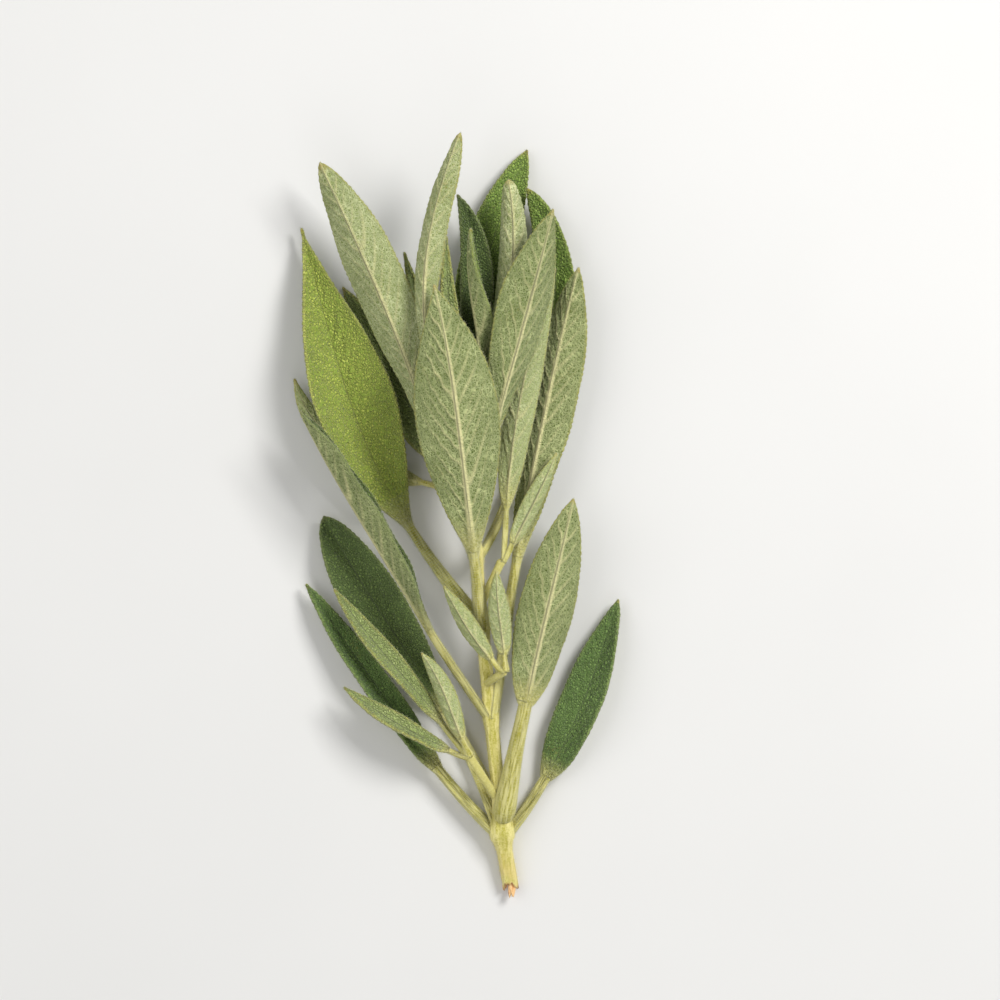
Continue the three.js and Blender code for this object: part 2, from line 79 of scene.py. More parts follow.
def srgb(code: str) -> Colour:
    """Turns a colour written as six hex digits into a linear one.

    Args:
        code: The colour's hex digits.

    Returns:
        Its linear red, green, blue and alpha.
    """
    parts = [int(code[i : i + 2], 16) / 255 for i in (0, 2, 4)]
    linear = [c / 12.92 if c <= 0.04045 else ((c + 0.055) / 1.055) ** 2.4 for c in parts]
    return (linear[0], linear[1], linear[2], 1.0)


def smoothstep(x: np.ndarray | float, low: float, high: float) -> np.ndarray:
    """Rises smoothly from 0 at low to 1 at high."""
    t = np.clip((np.asarray(x, float) - low) / (high - low), 0, 1)
    return t * t * (3 - 2 * t)


def bell(x: np.ndarray) -> np.ndarray:
    """A smooth bump: 1 at 0, falling to 0 at 1 and beyond."""
    return 0.5 + 0.5 * np.cos(np.pi * np.clip(np.abs(x), 0, 1))


def mix(a: np.ndarray | float, b: np.ndarray | float, share: np.ndarray | float) -> np.ndarray:
    """Goes from a to b as share goes from 0 to 1."""
    return np.asarray(a) * (1 - np.asarray(share)) + np.asarray(b) * np.asarray(share)


def unit(v: np.ndarray) -> np.ndarray:
    """Scales rows of vectors to length 1."""
    return v / np.maximum(np.linalg.norm(v, axis=-1, keepdims=True), 1e-9)


def scatter(i: np.ndarray, j: np.ndarray, seed: float) -> np.ndarray:
    """A fixed random number from 0 to 1 for each pair of whole numbers."""
    return np.modf(np.abs(np.sin(i * 127.1 + j * 311.7 + seed * 74.7) * 43758.5453))[0]


def cells(x: np.ndarray, y: np.ndarray, seed: float) -> np.ndarray:
    """How far inside an irregular cell each point of a plane is.

    Args:
        x: First coordinate, in cells.
        y: Second coordinate, in cells.
        seed: Picks one of many layouts.

    Returns:
        0 on the wall between two cells, up to about 1 in the middle of one.
    """
    ix, iy = np.floor(x), np.floor(y)
    first = np.full(x.shape, 9.0)
    second = np.full(x.shape, 9.0)
    for dx in (-1, 0, 1):
        for dy in (-1, 0, 1):
            cx, cy = ix + dx, iy + dy
            px = cx + 0.5 + 0.8 * (scatter(cx, cy, seed) - 0.5)
            py = cy + 0.5 + 0.8 * (scatter(cy, cx, seed + 3.1) - 0.5)
            away = np.hypot(x - px, y - py)
            second = np.where(away < first, first, np.minimum(second, away))
            first = np.minimum(first, away)
    return np.clip(second - first, 0, 1)


def section_axes(along: np.ndarray) -> tuple[np.ndarray, np.ndarray]:
    """Sideways and upward directions of the sections along a curve that runs in rows of directions."""
    side = unit(np.cross(along, np.array([0.0, 0.0, 1.0])))
    return side, unit(np.cross(side, along))


@dataclass
class Skin:
    """A surface as points and faces, with sets of values at each point for its material.

    On a leaf relief holds vein, cell wall, margin and hair, place holds upper face, stalk, along and
    hue, and net holds the millimetres across and along the veins that the fine net is drawn from. On
    the stem relief holds angle, rim, torn wood and hair, and place holds scorch, nothing, along and
    seam.
    """

    points: np.ndarray
    faces: list[tuple[int, ...]]
    relief: np.ndarray
    place: np.ndarray
    net: np.ndarray

    def joined(self, other: "Skin") -> "Skin":
        """Joins this skin and another.

        Args:
            other: The skin to add.

        Returns:
            Both as one skin.
        """
        shift = len(self.points)
        return Skin(
            np.vstack([self.points, other.points]),
            self.faces + [tuple(i + shift for i in face) for face in other.faces],
            np.vstack([self.relief, other.relief]),
            np.vstack([self.place, other.place]),
            np.vstack([self.net, other.net]),
        )

    def to_object(self, name: str) -> bpy.types.Object:
        """Makes a smooth mesh object in the scene.

        Args:
            name: The object's name.

        Returns:
            The new object, in metres and in the model's own frame.
        """
        placed = self.points - MIDDLE
        placed[:, 2] = np.maximum(placed[:, 2], 0.0)
        mesh = bpy.data.meshes.new(name)
        mesh.from_pydata((placed * METRES).tolist(), [], self.faces)
        for label, values in (("relief", self.relief), ("place", self.place), ("net", self.net)):
            layer = mesh.attributes.new(label, "FLOAT_COLOR", "POINT")
            layer.data.foreach_set("color", values.astype(np.float32).ravel())
        mesh.polygons.foreach_set("use_smooth", [True] * len(mesh.polygons))
        mesh.update()
        made = bpy.data.objects.new(name, mesh)
        bpy.context.scene.collection.objects.link(made)
        return made


def rings_skin(rings: np.ndarray, relief: np.ndarray, place: np.ndarray, net: np.ndarray) -> Skin:
    """Closes a stack of rings of points into one skin.

    Args:
        rings: Points by ring, place in the ring and axis.
        relief: Four values for each point.
        place: Four values for each point.
        net: Four values for each point.

    Returns:
        The skin, with both ends closed by a fan.
    """
    count, around = rings.shape[:2]
    index = np.arange(count * around).reshape(count, around)
    turned = np.roll(index, -1, axis=1)
    quads = np.stack([index[:-1], turned[:-1], turned[1:], index[1:]], axis=-1).reshape(-1, 4)
    faces = [tuple(q) for q in quads.tolist()]
    ends = rings[[0, -1]].mean(axis=1)
    for number, ring in enumerate((index[0], index[-1])):
        hub = count * around + number
        for k in range(around):
            a, b = int(ring[k]), int(ring[(k + 1) % around])
            faces.append((b, a, hub) if number == 0 else (a, b, hub))
    points = np.vstack([rings.reshape(-1, 3), ends])
    sets = [np.vstack([each.reshape(-1, 4), each[[0, -1], 0]]) for each in (relief, place, net)]
    return Skin(points, faces, *sets)


def down(roots: np.ndarray, aims: np.ndarray, length: float, place: np.ndarray, seed: float) -> Skin:
    """Short soft hairs, each a slender three-sided point.

    Args:
        roots: Where the hairs stand.
        aims: The directions that they point in.
        length: Their usual length.
        place: Four values for each hair, passed on to its points.
        seed: Picks one of many arrangements.

    Returns:
        The hairs as one skin.
    """
    count = len(roots)
    dice = np.random.default_rng(int(seed * 1000))
    aims = unit(unit(aims) + 0.38 * dice.normal(size=(count, 3)))
    side = unit(np.cross(aims, [0.31, 0.27, 0.91]))
    other = np.cross(aims, side)
    long = length * dice.uniform(0.45, 1.25, (count, 1))
    points = []
    for turn in (0.0, 2.09, 4.19):
        points.append(roots - 0.08 * aims + 0.03 * (side * math.cos(turn) + other * math.sin(turn)))
    points.append(roots + aims * long)
    stacked = np.stack(points, axis=1).reshape(-1, 3)
    first = np.arange(count)[:, None] * 4
    faces = np.concatenate([first + [0, 1, 3], first + [1, 2, 3], first + [2, 0, 3]]).tolist()
    relief = np.zeros((count * 4, 4))
    relief[:, 3] = 1
    places = np.repeat(place, 4, axis=0)
    return Skin(stacked, [tuple(face) for face in faces], relief, places, np.zeros_like(relief))


class Tone(Enum):
    """How green a leaf is, partly its own green and partly painted light and shade: lighter tones such as
    BRIGHT stand for leaves in strong light, darker ones such as DEEP for leaves lying in shade.
    """

    BRIGHT = "bright"
    FRESH = "fresh"
    MID = "mid"
    DEEP = "deep"
    GREY = "grey"
    PALE = "pale"
    YOUNG = "young"


class Nodes:
    """Builds a material's node tree step by step."""

    def __init__(self, material: bpy.types.Material) -> None:
        """Starts from an empty tree with one shader.

        Args:
            material: The material to fill.
        """
        material.use_nodes = True
        self.tree = material.node_tree
        self.tree.nodes.clear()
        self.shader = self.tree.nodes.new("ShaderNodeBsdfPrincipled")
        output = self.tree.nodes.new("ShaderNodeOutputMaterial")
        self.tree.links.new(self.shader.outputs["BSDF"], output.inputs["Surface"])

    def link(self, value: object, socket: bpy.types.NodeSocket) -> None:
        """Joins an output to a socket, or sets the socket to a plain value.

        Args:
            value: An output, or a number or colour.
            socket: The input to feed.
        """
        if isinstance(value, bpy.types.NodeSocket):
            self.tree.links.new(value, socket)
        else:
            socket.default_value = value

    def channels(self, name: str) -> list[bpy.types.NodeSocket]:
        """The three colour channels of a mesh attribute, and its fourth value.

        Args:
            name: The attribute's name.

        Returns:
            Four number outputs.
        """
        source = self.tree.nodes.new("ShaderNodeAttribute")
        source.attribute_name = name
        parts = self.tree.nodes.new("ShaderNodeSeparateColor")
        self.tree.links.new(source.outputs["Color"], parts.inputs["Color"])
        return [parts.outputs[0], parts.outputs[1], parts.outputs[2], source.outputs["Alpha"]]

    def blend(self, factor: object, a: object, b: object) -> bpy.types.NodeSocket:
        """Mixes two colours.

        Args:
            factor: A number or an output, 0 for a and 1 for b.
            a: A colour or an output.
            b: A colour or an output.

        Returns:
            The mixed colour.
        """
        node = self.tree.nodes.new("ShaderNodeMix")
        node.data_type = "RGBA"
        self.link(factor, node.inputs["Factor"])
        self.link(a, node.inputs[6])
        self.link(b, node.inputs[7])
        return node.outputs[2]

    def tint(self, colour: object, amount: object, strength: float, paint: str) -> bpy.types.NodeSocket:
        """Paints over a colour where a number is high.

        Args:
            colour: The colour beneath.
            amount: A number output, 1 where the paint is full.
            strength: How much the full paint covers.
            paint: The paint's colour as six hex digits.

        Returns:
            The painted colour.
        """
        return self.blend(self.scaled(amount, strength), colour, srgb(paint))

    def scaled(self, value: object, factor: float) -> bpy.types.NodeSocket:
        """A number times a fixed factor."""
        return self.number("MULTIPLY", value, factor)

    def inverse(self, value: object) -> bpy.types.NodeSocket:
        """What a number lacks to 1."""
        return self.number("SUBTRACT", 1.0, value)

    def number(self, operation: str, a: object, b: object = 0.0) -> bpy.types.NodeSocket:
        """Does sums on two numbers.

        Args:
            operation: The name of the sum.
            a: A number or an output.
            b: A number or an output.

        Returns:
            The result.
        """
        node = self.tree.nodes.new("ShaderNodeMath")
        node.operation = operation
        self.link(a, node.inputs[0])
        self.link(b, node.inputs[1])
        return node.outputs[0]

    def vector(self, operation: str, a: object, b: object, c: object = (0, 0, 0)) -> bpy.types.NodeSocket:
        """Does sums on three numbers at once.

        Args:
            operation: The name of the sum.
            a: Three numbers or an output.
            b: Three numbers or an output.
            c: Three numbers or an output, for sums of three parts.

        Returns:
            The result.
        """
        node = self.tree.nodes.new("ShaderNodeVectorMath")
        node.operation = operation
        for value, socket in zip((a, b, c), node.inputs):
            self.link(value, socket)
        return node.outputs["Vector"]

    def spread(self, value: object, low: float, high: float) -> bpy.types.NodeSocket:
        """Stretches the span from low to high smoothly to the span from 0 to 1.

        Args:
            value: A number output.
            low: What becomes 0.
            high: What becomes 1.

        Returns:
            The stretched number.
        """
        node = self.tree.nodes.new("ShaderNodeMapRange")
        node.interpolation_type = "SMOOTHSTEP"
        self.link(value, node.inputs["Value"])
        node.inputs["From Min"].default_value = low
        node.inputs["From Max"].default_value = high
        return node.outputs["Result"]

    def noise(self, size: float, detail: float = 3.0, stretch: Point = (1, 1, 1)) -> bpy.types.NodeSocket:
        """Irregular noise fixed to the object.

        Args:
            size: The size of its patches in millimetres.
            detail: How many finer layers it has.
            stretch: How much finer it is along each axis.

        Returns:
            A number output round 0.5.
        """
        place = self.tree.nodes.new("ShaderNodeTexCoord")
        mapping = self.tree.nodes.new("ShaderNodeMapping")
        mapping.inputs["Scale"].default_value = stretch
        node = self.tree.nodes.new("ShaderNodeTexNoise")
        node.inputs["Scale"].default_value = 1 / (size * METRES)
        node.inputs["Detail"].default_value = detail
        self.tree.links.new(place.outputs["Object"], mapping.inputs["Vector"])
        self.tree.links.new(mapping.outputs["Vector"], node.inputs["Vector"])
        return node.outputs["Fac"]

    def fine_net(self, size: float, sway: float) -> bpy.types.NodeSocket:
        """A net of fine irregular cells laid along the veins.

        Args:
            size: The width of a cell in millimetres.
            sway: How far its lines bend to and fro, in millimetres.

        Returns:
            The distance from a cell's wall, in cells.
        """
        source = self.tree.nodes.new("ShaderNodeAttribute")
        source.attribute_name = "net"
        cloud = self.tree.nodes.new("ShaderNodeTexNoise")
        cloud.inputs["Scale"].default_value = 0.9 / size
        cloud.inputs["Detail"].default_value = 2.0
        self.tree.links.new(source.outputs["Vector"], cloud.inputs["Vector"])
        centred = self.vector("SUBTRACT", cloud.outputs["Color"], (0.5, 0.5, 0.5))
        bent = self.vector("MULTIPLY_ADD", centred, (4 * sway, 4 * sway, 0), source.outputs["Vector"])
        node = self.tree.nodes.new("ShaderNodeTexVoronoi")
        node.feature = "DISTANCE_TO_EDGE"
        node.inputs["Scale"].default_value = 1 / size
        node.inputs["Randomness"].default_value = 0.9
        self.tree.links.new(bent, node.inputs["Vector"])
        return node.outputs["Distance"]

    def threads(self, size: float) -> bpy.types.NodeSocket:
        """Fine streaks that run along a stalk.

        Args:
            size: The width of a streak in millimetres.

        Returns:
            A number output round 0.5.
        """
        source = self.tree.nodes.new("ShaderNodeAttribute")
        source.attribute_name = "net"
        node = self.tree.nodes.new("ShaderNodeTexNoise")
        node.inputs["Scale"].default_value = 1 / size
        node.inputs["Detail"].default_value = 3.0
        self.tree.links.new(source.outputs["Vector"], node.inputs["Vector"])
        return node.outputs["Fac"]

    def bump(self, height: object, depth: float, strength: float) -> None:
        """Roughens the surface.

        Args:
            height: A number output.
            depth: The height of the relief in millimetres.
            strength: How strongly it shows.
        """
        node = self.tree.nodes.new("ShaderNodeBump")
        node.inputs["Distance"].default_value = depth * METRES
        node.inputs["Strength"].default_value = strength
        self.link(height, node.inputs["Height"])
        self.tree.links.new(node.outputs["Normal"], self.shader.inputs["Normal"])

    def surface(self, colour: object, roughness: object, **plain: float) -> None:
        """Sets the shader's colour, roughness and plain values.

        Args:
            colour: A colour or an output.
            roughness: A number or an output.
            **plain: Further values by socket name, with _ for a space.
        """
        self.link(colour, self.shader.inputs["Base Color"])
        self.link(roughness, self.shader.inputs["Roughness"])
        for name, value in plain.items():
            self.shader.inputs[name.replace("_", " ")].default_value = value


class LeafPattern:
    """The numbers that a leaf's colours are made of: its marks from the mesh, and finer patterns."""

    def __init__(self, nodes: Nodes) -> None:
        """Reads the marks and lays the patterns.

        Args:
            nodes: The node tree of the leaf's material.
        """
        self.vein, self.wall, self.margin, self.hair = nodes.channels("relief")
        self.upper, self.stalk, self.along, self.hue = nodes.channels("place")
        self.patches = nodes.noise(9.0, 2.0)
        self.grain = nodes.noise(0.5, 4.0)
        self.fuzz = nodes.noise(0.16, 2.0)
        self.line = nodes.inverse(nodes.spread(nodes.fine_net(0.8, 0.16), 0.02, 0.15))
        self.thread = nodes.inverse(nodes.spread(nodes.fine_net(0.42, 0.1), 0.03, 0.19))
        beads = nodes.fine_net(0.62, 0.1)
        self.seams = nodes.inverse(nodes.spread(beads, 0.02, 0.2))
        self.dome = nodes.spread(beads, 0.0, 0.4)


@dataclass(frozen=True)
class LeafFinish:
    """The colours of a leaf: its grooved green upper face and its felted, netted underside."""

    name: str
    # groove darkens the seams of the upper face as painted shade; hollow fills the pits of the underside's
    # net, partly the leaf's own green and partly painted shade.
    groove: str
    crest: str
    hollow: str = "506021"
    felt: str = "C5CC90"
    vein: str = "E2DCA2"
    margin: str = "B4AC58"
    stalk: str = "B3AB48"
    stalk_pale: str = "E3DB92"
    tip: str = "B39A4C"
    hair: str = "DCDDB4"

    def upper_face(self, nodes: Nodes, pattern: LeafPattern) -> bpy.types.NodeSocket:
        """The green of the upper face, with painted shade darkening the seams between its beads.

        Args:
            nodes: The material's node tree.
            pattern: The leaf's marks and patterns.

        Returns:
            The colour.
        """
        # The groove colour laid into the seams and cell walls is painted shade in these small recesses.
        sunk = nodes.number("MAXIMUM", nodes.scaled(pattern.wall, 0.35), nodes.scaled(pattern.seams, 0.8))
        colour = nodes.blend(sunk, srgb(self.crest), srgb(self.groove))
        colour = nodes.tint(colour, nodes.spread(pattern.patches, 0.4, 0.75), 0.25, self.groove)
        colour = nodes.tint(colour, pattern.vein, 0.2, self.crest)
        return nodes.tint(colour, nodes.spread(pattern.fuzz, 0.5, 0.8), 0.25, self.felt)

    def underside(self, nodes: Nodes, pattern: LeafPattern) -> bpy.types.NodeSocket:
        """The grey felt of the underside and its pale veins, with a dark green in the hollows of its net
        that is partly the leaf's own green and partly painted shade.

        Args:
            nodes: The material's node tree.
            pattern: The leaf's marks and patterns.

        Returns:
            The colour.
        """
        clear = nodes.spread(nodes.noise(3.2, 2.0), 0.3, 0.7)
        weight = nodes.number("ADD", 0.55, nodes.scaled(clear, 0.4))
        lines = nodes.number("MULTIPLY", pattern.line, weight)
        raised = nodes.number("MAXIMUM", nodes.scaled(pattern.wall, 0.5), lines)
        raised = nodes.number("MAXIMUM", raised, nodes.scaled(pattern.thread, 0.62))
        tufts = nodes.spread(pattern.fuzz, 0.5, 0.78)
        raised = nodes.number("MAXIMUM", raised, nodes.scaled(tufts, 0.4))
        # The hollow colour between the raised felt lines is partly the leaf's own green and partly painted
        # shade in the pits.
        colour = nodes.blend(raised, srgb(self.hollow), srgb(self.felt))
        colour = nodes.tint(colour, nodes.spread(pattern.patches, 0.4, 0.8), 0.3, self.hollow)
        return nodes.tint(colour, pattern.vein, 0.94, self.vein)

    def blade(self, nodes: Nodes, pattern: LeafPattern) -> bpy.types.NodeSocket:
        """Both faces, with the pale margin, the worn tip and a few rusty specks.

        Args:
            nodes: The material's node tree.
            pattern: The leaf's marks and patterns.

        Returns:
            The colour.
        """
        colour = nodes.blend(pattern.upper, self.underside(nodes, pattern), self.upper_face(nodes, pattern))
        rim = nodes.number("MULTIPLY", pattern.margin, nodes.spread(pattern.grain, 0.3, 0.6))
        colour = nodes.tint(colour, rim, 0.75, self.margin)
        end = nodes.spread(pattern.along, 0.965, 1.0)
        worn = nodes.number("MULTIPLY", end, nodes.spread(pattern.grain, 0.25, 0.6))
        colour = nodes.tint(colour, worn, 0.7, self.tip)
        spots = nodes.spread(pattern.patches, 0.56, 0.8)
        rust = nodes.number("MULTIPLY", spots, nodes.spread(pattern.grain, 0.5, 0.7))
        return nodes.tint(colour, rust, 0.4, self.tip)

    def petiole(self, nodes: Nodes, pattern: LeafPattern) -> bpy.types.NodeSocket:
        """The streaked yellow-green of the stalk.

        Args:
            nodes: The material's node tree.
            pattern: The leaf's marks and patterns.

        Returns:
            The colour.
        """
        streaks = nodes.spread(nodes.threads(0.42), 0.38, 0.62)
        colour = nodes.blend(streaks, srgb(self.stalk), srgb(self.stalk_pale))
        colour = nodes.tint(colour, nodes.spread(pattern.grain, 0.45, 0.65), 0.5, self.stalk_pale)
        return nodes.tint(colour, pattern.margin, 0.55, self.stalk_pale)

    def material(self) -> bpy.types.Material:
        """Makes the leaf material, which reads relief, place and net from the mesh.

        Returns:
            The material.
        """
        made = bpy.data.materials.new(self.name)
        nodes = Nodes(made)
        pattern = LeafPattern(nodes)
        colour = nodes.blend(pattern.stalk, self.blade(nodes, pattern), self.petiole(nodes, pattern))
        colour = nodes.tint(colour, pattern.hue, 0.18, self.groove)
        colour = nodes.tint(colour, pattern.hair, 0.85, self.hair)
        rough = nodes.number("SUBTRACT", 0.92, nodes.scaled(pattern.upper, 0.3))
        nodes.surface(colour, rough, Sheen_Weight=0.12, Sheen_Roughness=0.5, Specular_IOR_Level=0.3)
        below = nodes.number("SUBTRACT", 0.6, nodes.scaled(pattern.upper, 0.6))
        height = nodes.number("MULTIPLY", pattern.line, below)
        beaded = nodes.number("MULTIPLY", pattern.dome, nodes.scaled(pattern.upper, 2.2))
        height = nodes.number("ADD", height, beaded)
        height = nodes.number("ADD", height, nodes.scaled(pattern.grain, 0.7))
        height = nodes.number("ADD", height, nodes.scaled(pattern.fuzz, 0.4))
        nodes.bump(height, 0.2, 1.0)
        return made


@dataclass(frozen=True)
class StemFinish:
    """The colours of the downy stem: green and pale along it, tan and orange-brown at the torn end."""

    name: str = "downy_stem"
    green: str = "B9B24C"
    pale: str = "E9DF96"
    tan: str = "DDC67E"
    torn: str = "F3CB92"
    orange: str = "DE9C5A"
    dark: str = "8A5A2C"
    hair: str = "F2E6A2"

    def material(self) -> bpy.types.Material:
        """Makes the stem material, which reads relief and place from the mesh.

        Returns:
            The material.
        """
        made = bpy.data.materials.new(self.name)
        nodes = Nodes(made)
        angle, rim, wood, hair = nodes.channels("relief")
        scorch, _, along, seam = nodes.channels("place")
        streaks = nodes.noise(0.42, 3.0, (1.0, 0.16, 1.0))
        grain = nodes.noise(0.34, 3.0)
        patches = nodes.noise(4.0, 2.0)
        bark = nodes.blend(nodes.spread(streaks, 0.38, 0.62), srgb(self.green), srgb(self.pale))
        bark = nodes.tint(bark, nodes.spread(grain, 0.48, 0.6), 0.6, self.pale)
        bark = nodes.tint(bark, nodes.spread(grain, 0.48, 0.36), 0.6, self.green)
        bark = nodes.tint(bark, nodes.inverse(nodes.spread(angle, 0.1, 0.75)), 0.45, self.green)
        bark = nodes.tint(bark, nodes.spread(angle, 0.6, 1.0), 0.5, self.pale)
        bark = nodes.tint(bark, rim, 0.7, self.pale)
        bark = nodes.tint(bark, seam, 0.75, self.green)
        age = nodes.number("MULTIPLY", nodes.spread(along, 0.12, 0.0), nodes.spread(patches, 0.3, 0.6))
        bark = nodes.tint(bark, age, 0.6, self.tan)
        split = nodes.blend(nodes.spread(streaks, 0.42, 0.7), srgb(self.torn), srgb(self.orange))
        colour = nodes.blend(wood, bark, split)
        colour = nodes.tint(colour, scorch, 0.85, self.dark)
        colour = nodes.tint(colour, hair, 0.8, self.hair)
        nodes.surface(colour, 0.85, Sheen_Weight=0.15, Sheen_Roughness=0.5, Specular_IOR_Level=0.3)
        nodes.bump(nodes.number("ADD", streaks, grain), 0.16, 0.6)
        return made


@dataclass(frozen=True)
class FloorFinish:
    """A plain pale matt floor."""

    name: str = "pale_floor"
    pale: str = "E6E5E2"
    shade: str = "E1E0DD"

    def material(self) -> bpy.types.Material:
        """Makes the floor material, almost even in colour.

        Returns:
            The material.
        """
        made = bpy.data.materials.new(self.name)
        nodes = Nodes(made)
        patches = nodes.noise(60.0, 2.0)
        nodes.surface(nodes.blend(patches, srgb(self.pale), srgb(self.shade)), 0.8, Specular_IOR_Level=0.2)
        return made


# These finishes are copies of one leaf whose greens differ partly by the leaf's own colour and partly as
# painted light and shade for how brightly each leaf is lit.
FINISHES = {
    Tone.BRIGHT: LeafFinish("bright_leaf", groove="76922F", crest="DEE66C", margin="CCC870"),
    Tone.FRESH: LeafFinish("fresh_leaf", groove="587A27", crest="ABC65E", margin="A3AE58"),
    Tone.MID: LeafFinish("mid_leaf", groove="46622A", crest="8AA85A", margin="8FA25A"),
    Tone.DEEP: LeafFinish("deep_leaf", groove="35491E", crest="829A50", margin="8B985A", tip="7E7A44"),
    Tone.GREY: LeafFinish("grey_leaf", groove="4B6626", crest="7F9A45"),
    Tone.PALE: LeafFinish("pale_leaf", groove="4B6626", crest="7F9A45", hollow="74833A", felt="DFE4AE"),
    Tone.YOUNG: LeafFinish("young_leaf", groove="84984C", crest="C6D28A", hollow="93A05C", felt="D2D8A2"),
}


@dataclass
class Sheet:
    """A leaf laid out in rows along its rib and columns from margin to margin, with values by point.

    share runs from 0 to 1 along the rib, and u along the blade alone, below 0 in the stalk. run is
    the distance along the rib from the foot of the blade. hand is -1 left and 1 right of the rib,
    reach 0 on the rib and 1 at the margin, and span the half width. ends and heel fall to 0 where
    the leaf's tip and its swollen foot are rounded off.
    """

    share: np.ndarray
    u: np.ndarray
    run: np.ndarray
    hand: np.ndarray
    reach: np.ndarray
    span: np.ndarray
    ends: np.ndarray
    heel: np.ndarray

    @property
    def away(self) -> np.ndarray:
        """The distance from the rib."""
        return self.reach * self.span

    @property
    def to_margin(self) -> np.ndarray:
        """The distance from the margin."""
        return (1 - self.reach) * self.span

    @property
    def blade(self) -> np.ndarray:
        """0 in the stalk and 1 in the blade, with a smooth change at the blade's foot."""
        return smoothstep(self.u, -0.06, 0.12)

    @property
    def taper(self) -> np.ndarray:
        """1 along the blade, fading towards its foot and its tip."""
        return smoothstep(self.u, 0.02, 0.15) * smoothstep(1 - self.u, 0.0, 0.06)


@dataclass
class Marks:
    """What stands out from a leaf or is sunk into it, from 0 to 1 at each point.

    rib is the midrib and veins are the side veins, with quilt for the swelling between them. groove
    is the net sunk into the upper face and wall the net that stands out below.
    """

    rib: np.ndarray
    veins: np.ndarray
    quilt: np.ndarray
    groove: np.ndarray
    wall: np.ndarray


def both_faces(upper: np.ndarray, under: np.ndarray) -> np.ndarray:
    """Joins the rows of the two faces into rings, with the shared margins taken from the upper one."""
    return np.concatenate([upper, under[:, -2:0:-1]], axis=1)


